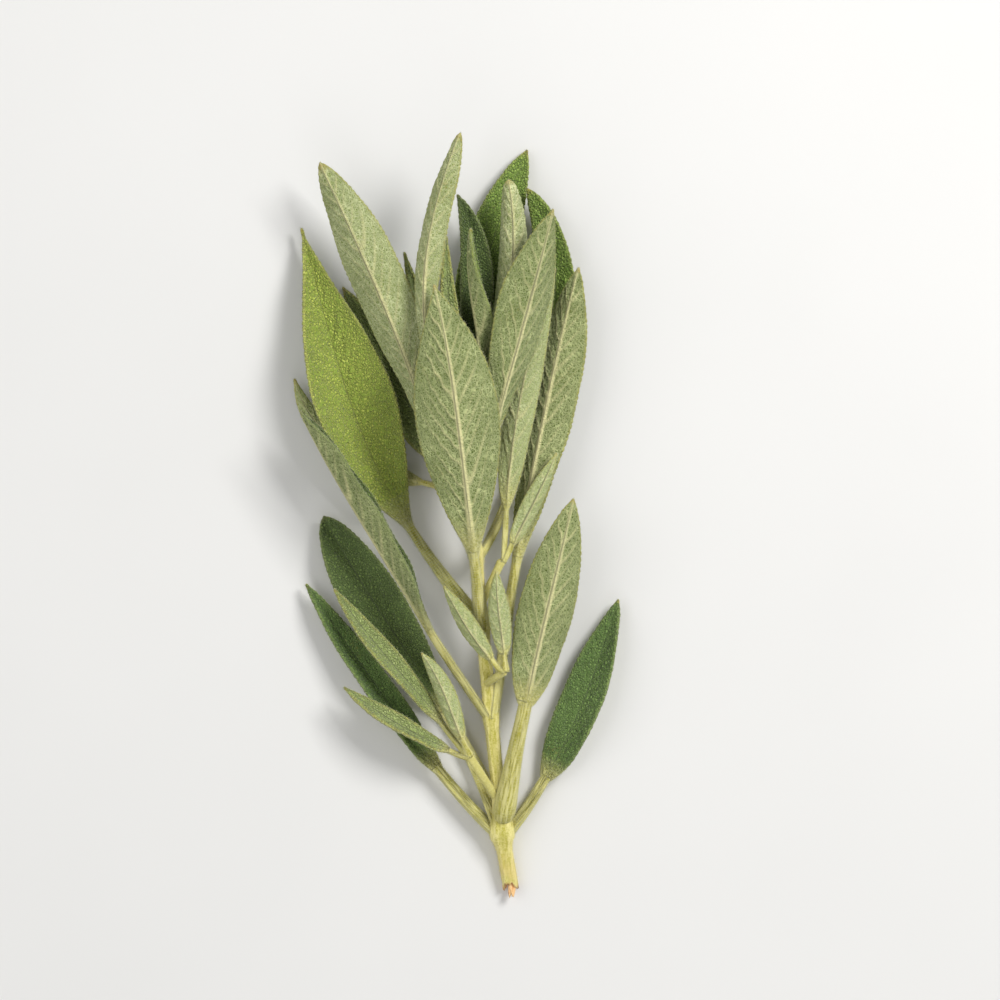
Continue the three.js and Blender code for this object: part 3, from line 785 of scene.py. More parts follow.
@dataclass
class Leaf:
    """One leaf with its stalk.

    foot, third, two_thirds and tip are points its rib runs through. blade_from is the share of the
    rib taken by the stalk. roll turns the upper face about the rib, in degrees, at the foot, in the
    blade and at the tip: 0 faces up, 180 shows the underside, 90 faces +X. fold is how steeply each
    half rises from the rib, and curl how much further it turns towards its margin. widest is where
    along the blade it is widest, and point how pointed it is. pair counts the stem's joints from 0.
    """

    third: Point
    two_thirds: Point
    tip: Point
    half_width: float
    roll: tuple[float, float, float]
    foot: Point = (0.0, 0.0, 0.0)
    pair: int | None = None
    blade_from: float = 0.16
    stalk: float = 1.0
    fold: float = 22.0
    curl: float = 20.0
    widest: float = 0.5
    point: float = 0.85
    small: bool = False
    tone: Tone = Tone.YOUNG
    seed: float = 1.0
    mesh_size: float = 0.294
    thickness: float = 0.56
    foot_half_width: float = 1.65
    stalk_half_width: float = 1.15
    stalk_depth: float = 1.3
    foot_swell: float = 0.0
    rib_half_width: float = 0.75
    rib_tip_depth: float = 0.15
    tip_half_width: float = 0.4
    tooth_pitch: float = 1.25
    tooth_depth: float = 0.2
    vein_pitch: float = 4.2
    vein_slope: float = 1.6
    cell_size: float = 1.3
    pebble_size: float = 0.85
    hair_length: float = 0.55
    margin_radius: float = 0.24
    tip_rounding: float = 0.7
    heel_rounding: float = 5.0

    def fineness(self) -> float:
        """How fine the rib and the teeth are: small leaves have finer ones."""
        return 0.5 if self.small else min(1.0, 0.55 + self.half_width / 14)

    def controls(self) -> np.ndarray:
        """The control points of the rib, a cubic curve through its four given points.

        Returns:
            Four points.
        """
        a, b, c, d = (np.array(p, float) for p in (self.foot, self.third, self.two_thirds, self.tip))
        first = -5 / 6 * a + 3 * b - 1.5 * c + d / 3
        second = a / 3 - 1.5 * b + 3 * c - 5 / 6 * d
        return np.array([a, first, second, d])

    def rib(self, share: np.ndarray) -> tuple[np.ndarray, np.ndarray]:
        """Points and directions of the rib.

        Args:
            share: Places along the curve, from 0 to 1.

        Returns:
            The points and the unit directions there.
        """
        a, b, c, d = self.controls()
        t = share[:, None]
        points = a * (1 - t) ** 3 + 3 * b * t * (1 - t) ** 2 + 3 * c * t**2 * (1 - t) + d * t**3
        along = (b - a) * (1 - t) ** 2 + 2 * (c - b) * t * (1 - t) + (d - c) * t**2
        return points, unit(along)

    def rows(self) -> tuple[np.ndarray, np.ndarray]:
        """Where the rows of points lie.

        Returns:
            The share of the curve and the distance from the foot of the blade, for each row.
        """
        fine = np.linspace(0, 1, 1200)
        steps = np.linalg.norm(np.diff(self.rib(fine)[0], axis=0), axis=1)
        length = np.concatenate([[0], np.cumsum(steps)])
        start = np.interp(self.blade_from, fine, length)
        stalk = np.linspace(0, start, max(6, int(start / (1.8 * self.mesh_size))), endpoint=False)
        blade = np.linspace(start, length[-1], max(24, int((length[-1] - start) / self.mesh_size)))
        end = length[-1] - np.array([0.16, 0.06])
        at = np.unique(np.concatenate([stalk, blade, end]))
        return np.interp(at, length, fine), at - start

    def columns(self) -> np.ndarray:
        """Places across the leaf.

        Returns:
            Numbers from -1 at the left margin to 1 at the right one.
        """
        count = max(7, int(self.half_width / self.mesh_size))
        inner = np.linspace(0, 1, count, endpoint=False)
        half = np.unique(np.concatenate([inner, [1 - 0.3 / count, 1 - 0.08 / count, 1.0]]))
        return np.concatenate([-half[:0:-1], half])

    def blade_share(self, share: np.ndarray) -> np.ndarray:
        """The place along the blade, below 0 in the stalk, for each place along the rib."""
        return (share - self.blade_from) / (1 - self.blade_from)

    def half_widths(self, share: np.ndarray) -> np.ndarray:
        """Half the leaf's width, without its teeth.

        Args:
            share: Places along the rib, from 0 to 1.

        Returns:
            The half width at each of them.
        """
        u = self.blade_share(share)
        size = self.fineness() * self.stalk * (1 - 0.05 * (self.pair or 0))
        slimming = smoothstep(share, 0, self.blade_from)
        stalk = mix(self.foot_half_width, self.stalk_half_width, slimming) * size
        stalk = stalk + 0.4 * size * np.exp(-((share / (0.35 * self.blade_from)) ** 2))
        base = self.point * self.widest / (1 - self.widest)
        inside = np.clip(u, 0, 1)
        peak = self.widest**base * (1 - self.widest) ** self.point
        blade = self.half_width * inside**base * (1 - inside) ** self.point / peak
        blade = np.maximum(self.tip_half_width, blade + stalk * (1 - inside) ** 2)
        return np.where(u <= 0, stalk, blade)

    def rolls(self, share: np.ndarray) -> np.ndarray:
        """How far the leaf is turned about its rib.

        Args:
            share: Places along the rib, from 0 to 1.

        Returns:
            The turn at each of them, in radians.
        """
        foot, blade, tip = self.roll
        turned = mix(foot, blade, smoothstep(share, 0, self.blade_from + 0.1))
        return np.radians(turned + (tip - blade) * smoothstep(self.blade_share(share), 0.2, 1))

    def sheet(self) -> Sheet:
        """Lays the leaf out with its rounded ends and its toothed margins.

        Returns:
            The layout.
        """
        share, run = self.rows()
        columns = self.columns()
        to_end = np.clip((run[-1] - run) / self.tip_rounding, 0, 1)
        ends = np.sqrt(np.clip(1 - (1 - to_end) ** 2, 0.0004, 1))
        heel = np.ones_like(run)
        if self.foot_swell:
            from_foot = np.clip((run - run[0]) / self.heel_rounding, 0, 1)
            heel = np.sqrt(np.clip(1 - (1 - from_foot) ** 2, 0.003, 1))
        width = self.half_widths(share) * ends * heel
        row, col = np.meshgrid(np.arange(len(share)), np.arange(len(columns)), indexing="ij")
        u = self.blade_share(share)[row]
        laid = Sheet(share[row], u, run[row], np.sign(columns[col]), np.abs(columns[col]), width[row],
                     ends[row], heel[row])
        laid.span = laid.span + self.teeth(laid) * laid.reach**8
        return laid

    def teeth(self, sheet: Sheet) -> np.ndarray:
        """How far the margin's small rounded teeth stand out.

        Args:
            sheet: The leaf's layout.

        Returns:
            Millimetres at each point.
        """
        place = sheet.run / self.tooth_pitch
        beat = np.abs(np.sin(np.pi * (sheet.run + 0.4 * sheet.hand * self.tooth_pitch) / self.tooth_pitch))
        uneven = 0.7 + 0.6 * scatter(np.floor(place), sheet.hand, self.seed)
        return self.tooth_depth * self.fineness() * sheet.taper * uneven * beat**0.7

    def bend(self, sheet: Sheet) -> tuple[np.ndarray, np.ndarray, np.ndarray]:
        """Folds the leaf along its rib, curls it and waves its margins.

        Args:
            sheet: The leaf's layout.

        Returns:
            For each point its distance beside the rib, its height above it, and how far the face
            leans there, in radians.
        """
        reach, span = sheet.reach, sheet.span
        opening = smoothstep(sheet.u, -0.05, 0.3)
        fold = np.radians(self.fold) * opening
        curl = np.radians(self.curl) * opening + 1e-6
        turn = fold + curl * reach
        soft = np.sqrt(reach**2 + (0.35 / span) ** 2) - 0.35 / span
        softened = np.where(reach > 0, soft / np.maximum(reach, 1e-6), 0)
        out = span / curl * (np.sin(turn) - np.sin(fold))
        lift = span / curl * (np.cos(fold) - np.cos(turn)) * softened
        wave_long = 15.0 + 5 * scatter(np.array(self.seed), np.array(1.0), 2.0)
        phase = 2 * np.pi * (sheet.run / wave_long + 0.37 * sheet.hand + self.seed)
        wave = 0.3 * self.fineness() * sheet.taper * reach**1.6 * np.sin(phase)
        return out, lift + wave, turn * np.tanh(sheet.away / 0.5)

    def forward(self, sheet: Sheet) -> np.ndarray:
        """How far towards the tip a side vein has come, at each distance from the rib."""
        away = sheet.away
        return self.vein_slope * away + 0.5 * away**2 / np.maximum(sheet.span, 0.5)

    def veins(self, sheet: Sheet) -> tuple[np.ndarray, np.ndarray]:
        """Draws the side veins, which leave the rib at uneven steps and wander a little.

        Args:
            sheet: The leaf's layout.

        Returns:
            How strongly a vein shows at each point, and how far the leaf swells between them.
        """
        run, away, reach = sheet.run, sheet.away, sheet.reach
        signed = sheet.hand * away
        forward = self.forward(sheet)
        drift = 0.3 * np.sin(run / 6.3 + self.seed + np.tanh(signed)) + 0.35 * smoothstep(signed, -0.4, 0.4)
        drift = drift + 0.17 * np.sin(run / 2.6 + 2 * self.seed - 0.8 * away)
        drift = drift + 0.07 * np.sin(run / 1.1 + 5 * self.seed + 2.1 * signed)
        order = (run - forward) / self.vein_pitch + drift
        to_vein = np.abs(order - np.floor(order) - 0.5) * self.vein_pitch * 0.66
        thin = 0.26 * (1 - 0.4 * reach)
        fade = smoothstep(away, 0.1, 0.5) * smoothstep(1 - reach, 0.02, 0.6) * (run > forward * 0.6)
        strength = 0.6 + 0.4 * scatter(np.floor(order), sheet.hand, self.seed + 2)
        quilt = smoothstep(to_vein, 0, 0.33 * self.vein_pitch) * fade
        return np.exp(-((to_vein / thin) ** 2)) * fade * strength, quilt

    def lattice(self, sheet: Sheet) -> np.ndarray:
        """Where each point lies in the fine net, which runs along the side veins and the stalk.

        Args:
            sheet: The leaf's layout.

        Returns:
            Millimetres across and along the veins, the net's layer, and 1.
        """
        steep = math.hypot(1, self.vein_slope)
        beside = (sheet.run - self.forward(sheet)) / steep + 40 * (sheet.hand > 0)
        along = (self.vein_slope * sheet.run + sheet.away) / steep
        in_stalk = sheet.u < 0.02
        beside = np.where(in_stalk, sheet.hand * sheet.away, beside)
        along = np.where(in_stalk, 0.1 * sheet.run, along)
        layer = np.full_like(beside, 3.7 * self.seed)
        return np.stack([beside, along, layer, np.ones_like(beside)], axis=-1)

    def walls(self, sheet: Sheet, lattice: np.ndarray, cell_size: float, wide: float) -> np.ndarray:
        """Draws the walls of a net of cells, which fades towards the rib.

        Args:
            sheet: The leaf's layout.
            lattice: Where each point lies in the net.
            cell_size: The size of a cell.
            wide: How wide a wall is, as a share of a cell.

        Returns:
            1 on a wall, falling to 0 inside a cell.
        """
        inside = cells(lattice[..., 0] / cell_size, lattice[..., 1] / cell_size, self.seed)
        return (1 - smoothstep(inside, 0.02, wide)) * smoothstep(sheet.away, 0.25, 0.8)

    def marks(self, sheet: Sheet, lattice: np.ndarray) -> Marks:
        """Draws the rib, the side veins and the two nets.

        Args:
            sheet: The leaf's layout.
            lattice: Where each point lies in the net.

        Returns:
            The marks at each point.
        """
        u = sheet.u
        rib_reach = mix(self.stalk_half_width, self.rib_half_width, smoothstep(u, -0.1, 0.3))
        rib_reach = rib_reach * self.fineness() * (1.1 - 0.55 * smoothstep(u, 0.1, 1.0))
        veins, quilt = self.veins(sheet)
        return Marks(
            rib=bell(sheet.away / np.maximum(rib_reach, 0.24)),
            veins=veins,
            quilt=quilt,
            groove=self.walls(sheet, lattice, self.pebble_size, 0.42),
            wall=self.walls(sheet, lattice, self.cell_size, 0.3),
        )

    def heights(self, sheet: Sheet, marks: Marks) -> tuple[np.ndarray, np.ndarray]:
        """How far the two faces stand from the middle of the leaf.

        Args:
            sheet: The leaf's layout.
            marks: The marks at each point.

        Returns:
            The height of the upper face and the depth of the underside.
        """
        u, size = sheet.u, self.fineness()
        thick = self.thickness / 2 * (0.75 + 0.25 * size)
        edge = np.sqrt(np.clip(1 - (1 - np.clip(sheet.to_margin / self.margin_radius, 0, 1)) ** 2, 0, 1))
        round_off = np.sqrt(np.clip(1 - sheet.reach**2, 0, 1))
        keel = mix(self.stalk_depth, self.rib_tip_depth, smoothstep(u, -0.2, 0.9)) * size
        keel = keel * (1 - 0.62 * bell((u - 0.45) / 0.6))
        channel = 0.26 * size * bell(sheet.reach / 0.7)
        puffed = 0.26 * (1 - marks.groove) - 0.12 * marks.veins + 0.14 * marks.quilt
        blade_top = (thick + puffed) * edge - 0.12 * size * bell(sheet.away / 0.8)
        stalk_top = 0.36 * size * round_off - channel * round_off
        netted = 0.15 * marks.wall + 0.17 * marks.veins - 0.08 * marks.quilt
        blade_low = (thick + netted) * edge + keel * marks.rib
        near_foot = smoothstep(sheet.share, -0.012, 0.02) * np.exp(-((sheet.share / 0.1) ** 2))
        stalk_low = (0.36 + keel + self.foot_swell * near_foot) * round_off * sheet.heel
        top = mix(stalk_top, blade_top, sheet.blade) * sheet.ends
        return top, mix(stalk_low, blade_low, sheet.blade) * sheet.ends

    def faces(self, sheet: Sheet, marks: Marks) -> tuple[np.ndarray, np.ndarray]:
        """Places the points of the two faces along the rib.

        Args:
            sheet: The leaf's layout.
            marks: The marks at each point.

        Returns:
            The points in rings, by row, and the rib's direction in each row.
        """
        share = sheet.share[:, 0]
        points, along = self.rib(share)
        side, up = section_axes(along)
        roll = self.rolls(share)[:, None]
        normal = (up * np.cos(roll) + side * np.sin(roll))[:, None]
        right = (side * np.cos(roll) - up * np.sin(roll))[:, None]
        out, lift, lean = self.bend(sheet)
        top_height, low_height = self.heights(sheet, marks)
        base = points[:, None] + right * (sheet.hand * out)[..., None] + normal * lift[..., None]
        lean_up = normal * np.cos(lean)[..., None] - right * (sheet.hand * np.sin(lean))[..., None]
        top = base + lean_up * top_height[..., None]
        low = base - lean_up * low_height[..., None]
        return both_faces(top, low), along

    def values(self, sheet: Sheet, marks: Marks) -> tuple[np.ndarray, np.ndarray]:
        """What the material reads at each point.

        Args:
            sheet: The leaf's layout.
            marks: The marks at each point.

        Returns:
            The relief values and the place values, in rings.
        """
        u, blade = sheet.u, sheet.blade
        shown_rib = smoothstep(marks.rib, 0.04, 0.55) * (1 - 0.35 * smoothstep(u, 0.5, 1))
        vein = np.maximum(shown_rib, 0.8 * marks.veins) * blade
        at_margin = 1 - smoothstep(sheet.to_margin, 0.12, 0.5)
        rim = mix(smoothstep(sheet.reach, 0.55, 0.95), at_margin, blade)
        upper = np.stack([vein, marks.groove * blade, rim, np.zeros_like(vein)], axis=-1)
        under = np.stack([vein, marks.wall * blade, rim, np.zeros_like(vein)], axis=-1)
        stalk = 1 - smoothstep(u, -0.02, 0.16)
        hue = np.full_like(vein, scatter(np.array(self.seed), np.array(7.0), 1.0))
        top = np.stack([np.ones_like(vein), stalk, np.clip(u, 0, 1), hue], axis=-1)
        low = top * np.array([0.0, 1.0, 1.0, 1.0])
        top[:, [0, -1], 0] = 0.5
        return both_faces(upper, under), both_faces(top, low)

    def skin(self) -> Skin:
        """The whole leaf as one closed skin with veins, cells, teeth and down.

        Returns:
            The skin.
        """
        sheet = self.sheet()
        lattice = self.lattice(sheet)
        marks = self.marks(sheet, lattice)
        rings, along = self.faces(sheet, marks)
        relief, place = self.values(sheet, marks)
        behind = lattice + np.array([0, 0, 11.3, 0])
        net = both_faces(lattice, behind)
        leaf = rings_skin(rings[:, ::-1], relief[:, ::-1], place[:, ::-1], net[:, ::-1])
        return leaf.joined(self.hairs(rings, along, sheet.u[:, 0], place[:, 0]))

    def hairs(self, rings: np.ndarray, along: np.ndarray, u: np.ndarray, where: np.ndarray) -> Skin:
        """The down along the margins and round the stalk.

        Args:
            rings: The leaf's points, by row.
            along: The rib's direction in each row.
            u: The share of the blade in each row, below 0 in the stalk.
            where: The place values of each row.

        Returns:
            All hairs as one skin.
        """
        half = rings.shape[1] // 2
        roots, aims, kinds = [], [], []
        for edge in (0, half):
            outward = unit(rings[:, edge] - rings[:, (edge + 2) % rings.shape[1]])
            for side in (-0.4, 0.3):
                lean = np.cross(outward, along) * side
                roots.append(rings[:, edge])
                aims.append(outward + 0.5 * along + lean)
                kinds.append(where)
        stalk = rings[u < 0.12]
        heart = stalk.mean(axis=1, keepdims=True)
        for step in range(0, stalk.shape[1], 2):
            roots.append(stalk[:, step])
            aims.append(unit(stalk[:, step] - heart[:, 0]) + 0.6 * along[u < 0.12])
            kinds.append(where[u < 0.12])
        return down(np.vstack(roots), np.vstack(aims), self.hair_length, np.vstack(kinds), self.seed)


def tube(path: np.ndarray, radius: np.ndarray, around: int, square: float = 0.0) -> Skin:
    """A round or slightly four-angled downy tube along a path.

    Args:
        path: Points of its axis.
        radius: Its radius at each point.
        around: How many points each ring has.
        square: How far its angles stand out, as a share of the radius.

    Returns:
        The closed tube, marked as stalk.
    """
    along = unit(np.gradient(path, axis=0))
    side, up = section_axes(along)
    angle = np.linspace(0, 2 * np.pi, around, endpoint=False)
    reach = radius[:, None] * (1 - square * np.cos(4 * angle))
    rings = (
        path[:, None]
        + side[:, None] * (reach * np.cos(angle))[..., None]
        + up[:, None] * (reach * np.sin(angle))[..., None]
    )
    blank = np.zeros((*rings.shape[:2], 4))
    place = blank + np.array([0, 1, 0, 0])
    roots = rings[:, ::2].reshape(-1, 3)
    aims = unit(rings - path[:, None])[:, ::2] + 0.5 * along[:, None]
    kinds = place[:, ::2].reshape(-1, 4)
    seed = 5 + float(path[0, 1]) ** 2 % 7
    return rings_skin(rings, blank, place, blank).joined(down(roots, aims.reshape(-1, 3), 0.5, kinds, seed))


@dataclass
class Piece:
    """A piece of the sprig that stands for one solid of the model.

    rests says that its solid was let down onto the table, which the piece then follows by the height
    of its last tip_length millimetres.
    """

    name: str
    slot: str
    rests: bool = False
    tip_length: float = 3.0

    def tip_height(self, points: np.ndarray) -> float:
        """The mean height of the points within a tip's length of the furthest one."""
        return float(points[points[:, 1] > points[:, 1].max() - self.tip_length, 2].mean())

    def drop(self, skin: Skin) -> float:
        """How far the solid was let down onto the table, read at its furthest tip.

        Args:
            skin: The finer surface, not let down yet.

        Returns:
            The height to add to the skin in millimetres.
        """
        solid = bpy.data.objects[self.name]
        corners = np.array([solid.matrix_world @ corner.co for corner in solid.data.vertices]) / METRES
        return self.tip_height(corners) - self.tip_height(skin.points)

    def place(self, skin: Skin, finish: bpy.types.Material) -> bpy.types.Object:
        """Puts the piece where its solid is and dresses it.

        Args:
            skin: The finer surface.
            finish: Its material.

        Returns:
            The piece, riding on the root.
        """
        if self.rests:
            skin.points[:, 2] += self.drop(skin)
        made = skin.to_object(f"{self.name}_fine")
        made.data.materials.append(finish)
        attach(made, "root")
        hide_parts(self.name)
        LOG.info("%s: %d faces", made.name, len(made.data.polygons))
        return made


@dataclass
class StemLeaf(Piece):
    """A leaf that grows straight from the main stem."""

    leaf: Leaf | None = None

    def build(self, finishes: dict[Tone, bpy.types.Material]) -> bpy.types.Object:
        """Builds the leaf.

        Args:
            finishes: A material for each tone.

        Returns:
            The finished leaf.
        """
        return self.place(self.leaf.skin(), finishes[self.leaf.tone])


@dataclass
class Shoot(Piece):
    """A side shoot: a thin stem from its foot to its end, and the leaves that grow from there."""

    foot: Point = (0.0, 0.0, 0.0)
    end: Point = (0.0, 0.0, 0.0)
    radius: float = 0.95
    around: int = 18
    leaves: tuple[Leaf, ...] = ()

    def axis(self) -> np.ndarray:
        """The thin stem's axis, which bends slightly upward.

        Returns:
            Points from its foot to just past its end.
        """
        a, c = np.array(self.foot, float), np.array(self.end, float)
        b = (a + c) / 2 + np.array([0, 0, 0.8])
        t = np.linspace(0, 1.06, 28)[:, None]
        return a * (1 - t) ** 2 + 2 * (2 * b - (a + c) / 2) * t * (1 - t) + c * t**2

    def build(self, finishes: dict[Tone, bpy.types.Material]) -> bpy.types.Object:
        """Builds the thin stem with its leaves as one piece.

        Args:
            finishes: A material for each tone.

        Returns:
            The finished shoot.
        """
        path = self.axis()
        t = np.linspace(0, 1, len(path))
        joint = 0.95 + 0.35 * np.exp(-(((t - 0.94) / 0.07) ** 2))
        closing = np.sqrt(np.clip(1.02 - t**12, 0.05, 1))
        skin = tube(path, self.radius * joint * closing, self.around, 0.05)
        for leaf in self.leaves:
            leaf.foot = self.end
            skin = skin.joined(leaf.skin())
        return self.place(skin, finishes[Tone.YOUNG])


@dataclass
class Tuft(Piece):
    """The bud and the youngest leaves at the tip of the stem."""

    bud_radius: float = 1.1
    bud_length: float = 4.4
    leaf_height: float = 1.2
    around: int = 18
    leaves: tuple[Leaf, ...] = ()

    def build(self, finishes: dict[Tone, bpy.types.Material]) -> bpy.types.Object:
        """Builds the bud with its leaves as one piece.

        Args:
            finishes: A material for each tone.

        Returns:
            The finished tuft.
        """
        t = np.linspace(0, 1, 20)
        path = np.array(STEM_TIP) + np.outer(t * self.bud_length - 0.1, [0, 1, 0])
        rounding = np.sqrt(np.clip(1 - (2 * t - 1) ** 2, 0.01, 1))
        skin = tube(path, self.bud_radius * rounding, self.around)
        for leaf in self.leaves:
            leaf.foot = (STEM_TIP[0], STEM_TIP[1] + self.leaf_height, STEM_TIP[2])
            skin = skin.joined(leaf.skin())
        return self.place(skin, finishes[Tone.YOUNG])


@dataclass(frozen=True)
class Splinter:
    """A flat splinter of wood that sticks out of the torn end, with a ragged tip.

    foot is where it stands in the stem, point where its longest strand ends, and half_width its half
    width at the foot. seed picks one of many ragged tips.
    """

    foot: Point
    point: Point
    half_width: float
    seed: float
    half_thickness: float = 0.24
    strands: float = 2.99
    around: int = 40
    rows: int = 34

    def skin(self) -> Skin:
        """Builds the splinter.

        Returns:
            Its skin, marked as torn wood.
        """
        way = np.array(self.point, float) - np.array(self.foot, float)
        t = np.linspace(0, 1, self.rows)[:, None]
        angle = np.linspace(0, 2 * np.pi, self.around, endpoint=False)[None]
        beside = np.cos(angle)
        lane = self.strands * (beside + 1)
        strand = np.floor(lane)
        gap = np.abs(np.sin(np.pi * lane))
        short = 0.42 * scatter(strand, np.zeros_like(strand), self.seed) * gap**0.3
        length = 1 - np.minimum(short, 0.45)
        narrow = 1 - 0.25 * t - 0.3 * t**6
        furrow = 1 - 0.3 * np.abs(np.sin(np.pi * lane / 2))
        closing = np.sqrt(np.clip(1.03 - t**8, 0, 1))
        x = self.half_width * narrow * beside + 0.06 * np.sin(9 * t + self.seed)
        z = self.half_thickness * np.sin(angle) * furrow * closing + 0.12 * np.sin(3 * t + self.seed)
        section = np.stack([x, np.zeros_like(x), z], axis=-1)
        rings = np.array(self.foot) + (t * length)[..., None] * way + section
        blank = np.zeros((*rings.shape[:2], 4))
        skin = rings_skin(rings, blank, blank, blank)
        skin.relief[:, 2] = 1
        return skin


@dataclass
class Stem(Piece):
    """The main stem: four-angled, swollen where leaves leave it, torn at its lower end."""

    base_radius: float = 1.75
    tip_radius: float = 0.9
    squareness: float = 0.07
    swell: float = 0.4
    low_swell: float = 0.62
    swell_length: float = 2.2
    tear_depth: float = 1.4
    tear_length: float = 1.2
    hair_length: float = 0.6
    around: int = 60
    row_length: float = 0.3
    leaves: tuple[Leaf, ...] = ()
    splinters: tuple[Splinter, ...] = (
        Splinter((0.8, 0.8, 2.1), (0.75, -4.4, 2.6), 0.95, 3.0),
        Splinter((-0.4, 0.8, 1.6), (-0.8, -2.9, 1.2), 0.6, 5.0),
    )

    def axis(self) -> tuple[np.ndarray, np.ndarray]:
        """The stem's axis, a smooth curve through its control points.

        Returns:
            Closely spaced points, and for each the share of the way along the control points.
        """
        places = np.array([CUT_END, *PAIRS, STEM_TIP], float)
        walk = np.vstack([2 * places[0] - places[1], places, 2 * places[-1] - places[-2]])
        knots = np.concatenate([[0], np.cumsum(np.linalg.norm(np.diff(walk, axis=0), axis=1) ** 0.5)])
        last = len(places) - 2
        path, shares = [], []
        for part in range(last + 1):
            p, k = walk[part : part + 4], knots[part : part + 4]
            count = max(6, int(np.linalg.norm(p[2] - p[1]) / self.row_length))
            t = np.linspace(k[1], k[2], count, endpoint=part == last)[:, None]
            for step in (1, 2):
                p = [
                    (p[i] * (k[i + step] - t) + p[i + 1] * (t - k[i])) / (k[i + step] - k[i])
                    for i in range(4 - step)
                ]
            path.append((p[0] * (k[2] - t) + p[1] * (t - k[1])) / (k[2] - k[1]))
            shares.append((part + (t[:, 0] - k[1]) / (k[2] - k[1])) / (last + 1))
        return np.vstack(path), np.concatenate(shares)

    def collars(self, points: np.ndarray) -> tuple[np.ndarray, np.ndarray, np.ndarray]:
        """Where the stem swells round the foot of each leaf stalk.

        Args:
            points: Points of the stem's skin.

        Returns:
            For each point 1 on the rim round a foot, 1 on the green seam inside it, and 1 in the
            foot, each falling to 0.
        """
        rim = np.zeros(points.shape[:-1])
        seam = np.zeros(points.shape[:-1])
        foot = np.zeros(points.shape[:-1])
        for leaf in self.leaves:
            start = np.array(PAIRS[leaf.pair], float)
            _, along = leaf.rib(np.array([0.03]))
            side, up = section_axes(along)
            roll = math.radians(leaf.roll[0])
            normal = (up * math.cos(roll) + side * math.sin(roll))[0]
            right = (side * math.cos(roll) - up * math.sin(roll))[0]
            size = leaf.fineness() * leaf.stalk
            away = points - start
            wide = (away @ right) / (leaf.foot_half_width * size)
            deep = (away @ normal + 0.55 * size) / (1.1 * size + 0.5 * leaf.foot_swell)
            ring = np.hypot(wide, deep)
            ahead = smoothstep(away @ along[0], 0.2, 1.2)
            rim = np.maximum(rim, bell((ring - 1.2) / 0.3) * ahead)
            seam = np.maximum(seam, bell((ring - 0.98) / 0.14) * ahead)
            if leaf.pair == 0:
                foot = np.maximum(foot, bell(ring / 1.9) * smoothstep(away @ along[0], -1.2, 0.8))
        return rim, seam, foot

    def radii(self, path: np.ndarray, share: np.ndarray, angle: np.ndarray) -> np.ndarray:
        """How far the bark stands from the axis, with its four angles, furrows and swollen joints.

        Args:
            path: Points of the axis.
            share: The share of the way along at each of them.
            angle: Directions round the axis, in radians.

        Returns:
            A radius for each point of the axis and each direction.
        """
        away = (path[:, 1, None] - np.array(PAIRS)[None, :, 1]) / self.swell_length
        extra = np.where(np.arange(len(PAIRS)) < 2, self.low_swell, self.swell)
        swell = (extra * np.exp(-(away**2))).sum(axis=1)
        radius = mix(self.base_radius, self.tip_radius, share) + swell * (1 - 0.5 * share)
        ribbed = 0.04 * np.cos(12 * angle + 0.8 * np.sin(path[:, 1, None] / 7))
        row, place = np.arange(len(path))[:, None] * 1.0, np.arange(self.around)[None] * 1.0
        rough = 0.04 * (scatter(row, place, 4.0) - 0.5)
        return radius[:, None] * (1 - self.squareness * np.cos(4 * angle)) + ribbed + rough

    def torn_end(self, lip: np.ndarray, centre: np.ndarray, along: np.ndarray) -> np.ndarray:
        """The rough wood inside the torn end.

        Args:
            lip: The first ring of the bark.
            centre: Its middle.
            along: The direction of the stem there.

        Returns:
            Rings from the middle outward.
        """
        rings = []
        chips = np.arange(self.around) // 3 * 1.0
        for step, shrink in enumerate((0.9, 0.72, 0.5, 0.25)):
            rough = 0.7 * (scatter(chips, np.full(self.around, step * 1.0), 6.0) - 0.35)
            rings.append(lip * shrink + centre * (1 - shrink) + along * (0.35 + rough[:, None]))
        return np.array(rings[::-1])

    def bark(self) -> Skin:
        """The stem's skin, with a rim round the foot of each stalk and a torn lower end.

        Returns:
            The skin, with its hairs.
        """
        path, share = self.axis()
        along = unit(np.gradient(path, axis=0))
        side, up = section_axes(along)
        angle = (np.arange(self.around) + 0.5) / self.around * 2 * np.pi
        reach = self.radii(path, share, angle)
        out = side[:, None] * np.cos(angle)[:, None] + up[:, None] * np.sin(angle)[:, None]
        rim, seam, foot = self.collars(path[:, None] + out * reach[..., None])
        reach = reach + 0.14 * rim + 0.5 * foot
        low = (path[:, 1] - path[0, 1])[:, None]
        fray = np.exp(-low / self.tear_length)
        jag = 0.5 + 0.5 * np.sin(2.3 * angle + 0.8) + 0.22 * np.sin(7 * angle + 2)
        jag = jag + 0.12 * np.sin(13 * angle)
        tear = -self.tear_depth * jag * fray
        strips = np.arange(self.around) // 4 * 1.0
        reach = reach * (1 - 0.1 * fray * scatter(np.zeros(1), strips, 2.0))
        rings = (
            path[:, None]
            + side[:, None] * (reach * np.cos(angle))[..., None]
            + up[:, None] * (reach * np.sin(angle))[..., None]
            + along[:, None] * tear[..., None]
        )
        inner = self.torn_end(rings[0], path[0], along[0])
        rings = np.concatenate([inner, rings])
        first = len(inner)
        relief = np.zeros((*rings.shape[:2], 4))
        place = np.zeros((*rings.shape[:2], 4))
        relief[first:, :, 0] = 0.5 - 0.5 * np.cos(4 * angle)
        relief[first:, :, 1] = rim
        relief[:first, :, 2] = 1
        relief[first:, :, 2] = 0.8 * np.clip(1 - low / 0.4, 0, 1)
        burnt = smoothstep(np.sin(3 * angle + 1.2), -0.6, 0.5)
        place[first:, :, 0] = np.clip(1.2 - np.abs(low - 0.1) / 0.3, 0, 1) * burnt
        place[first - 1, :, 0] = 0.6
        place[first:, :, 2] = share[:, None]
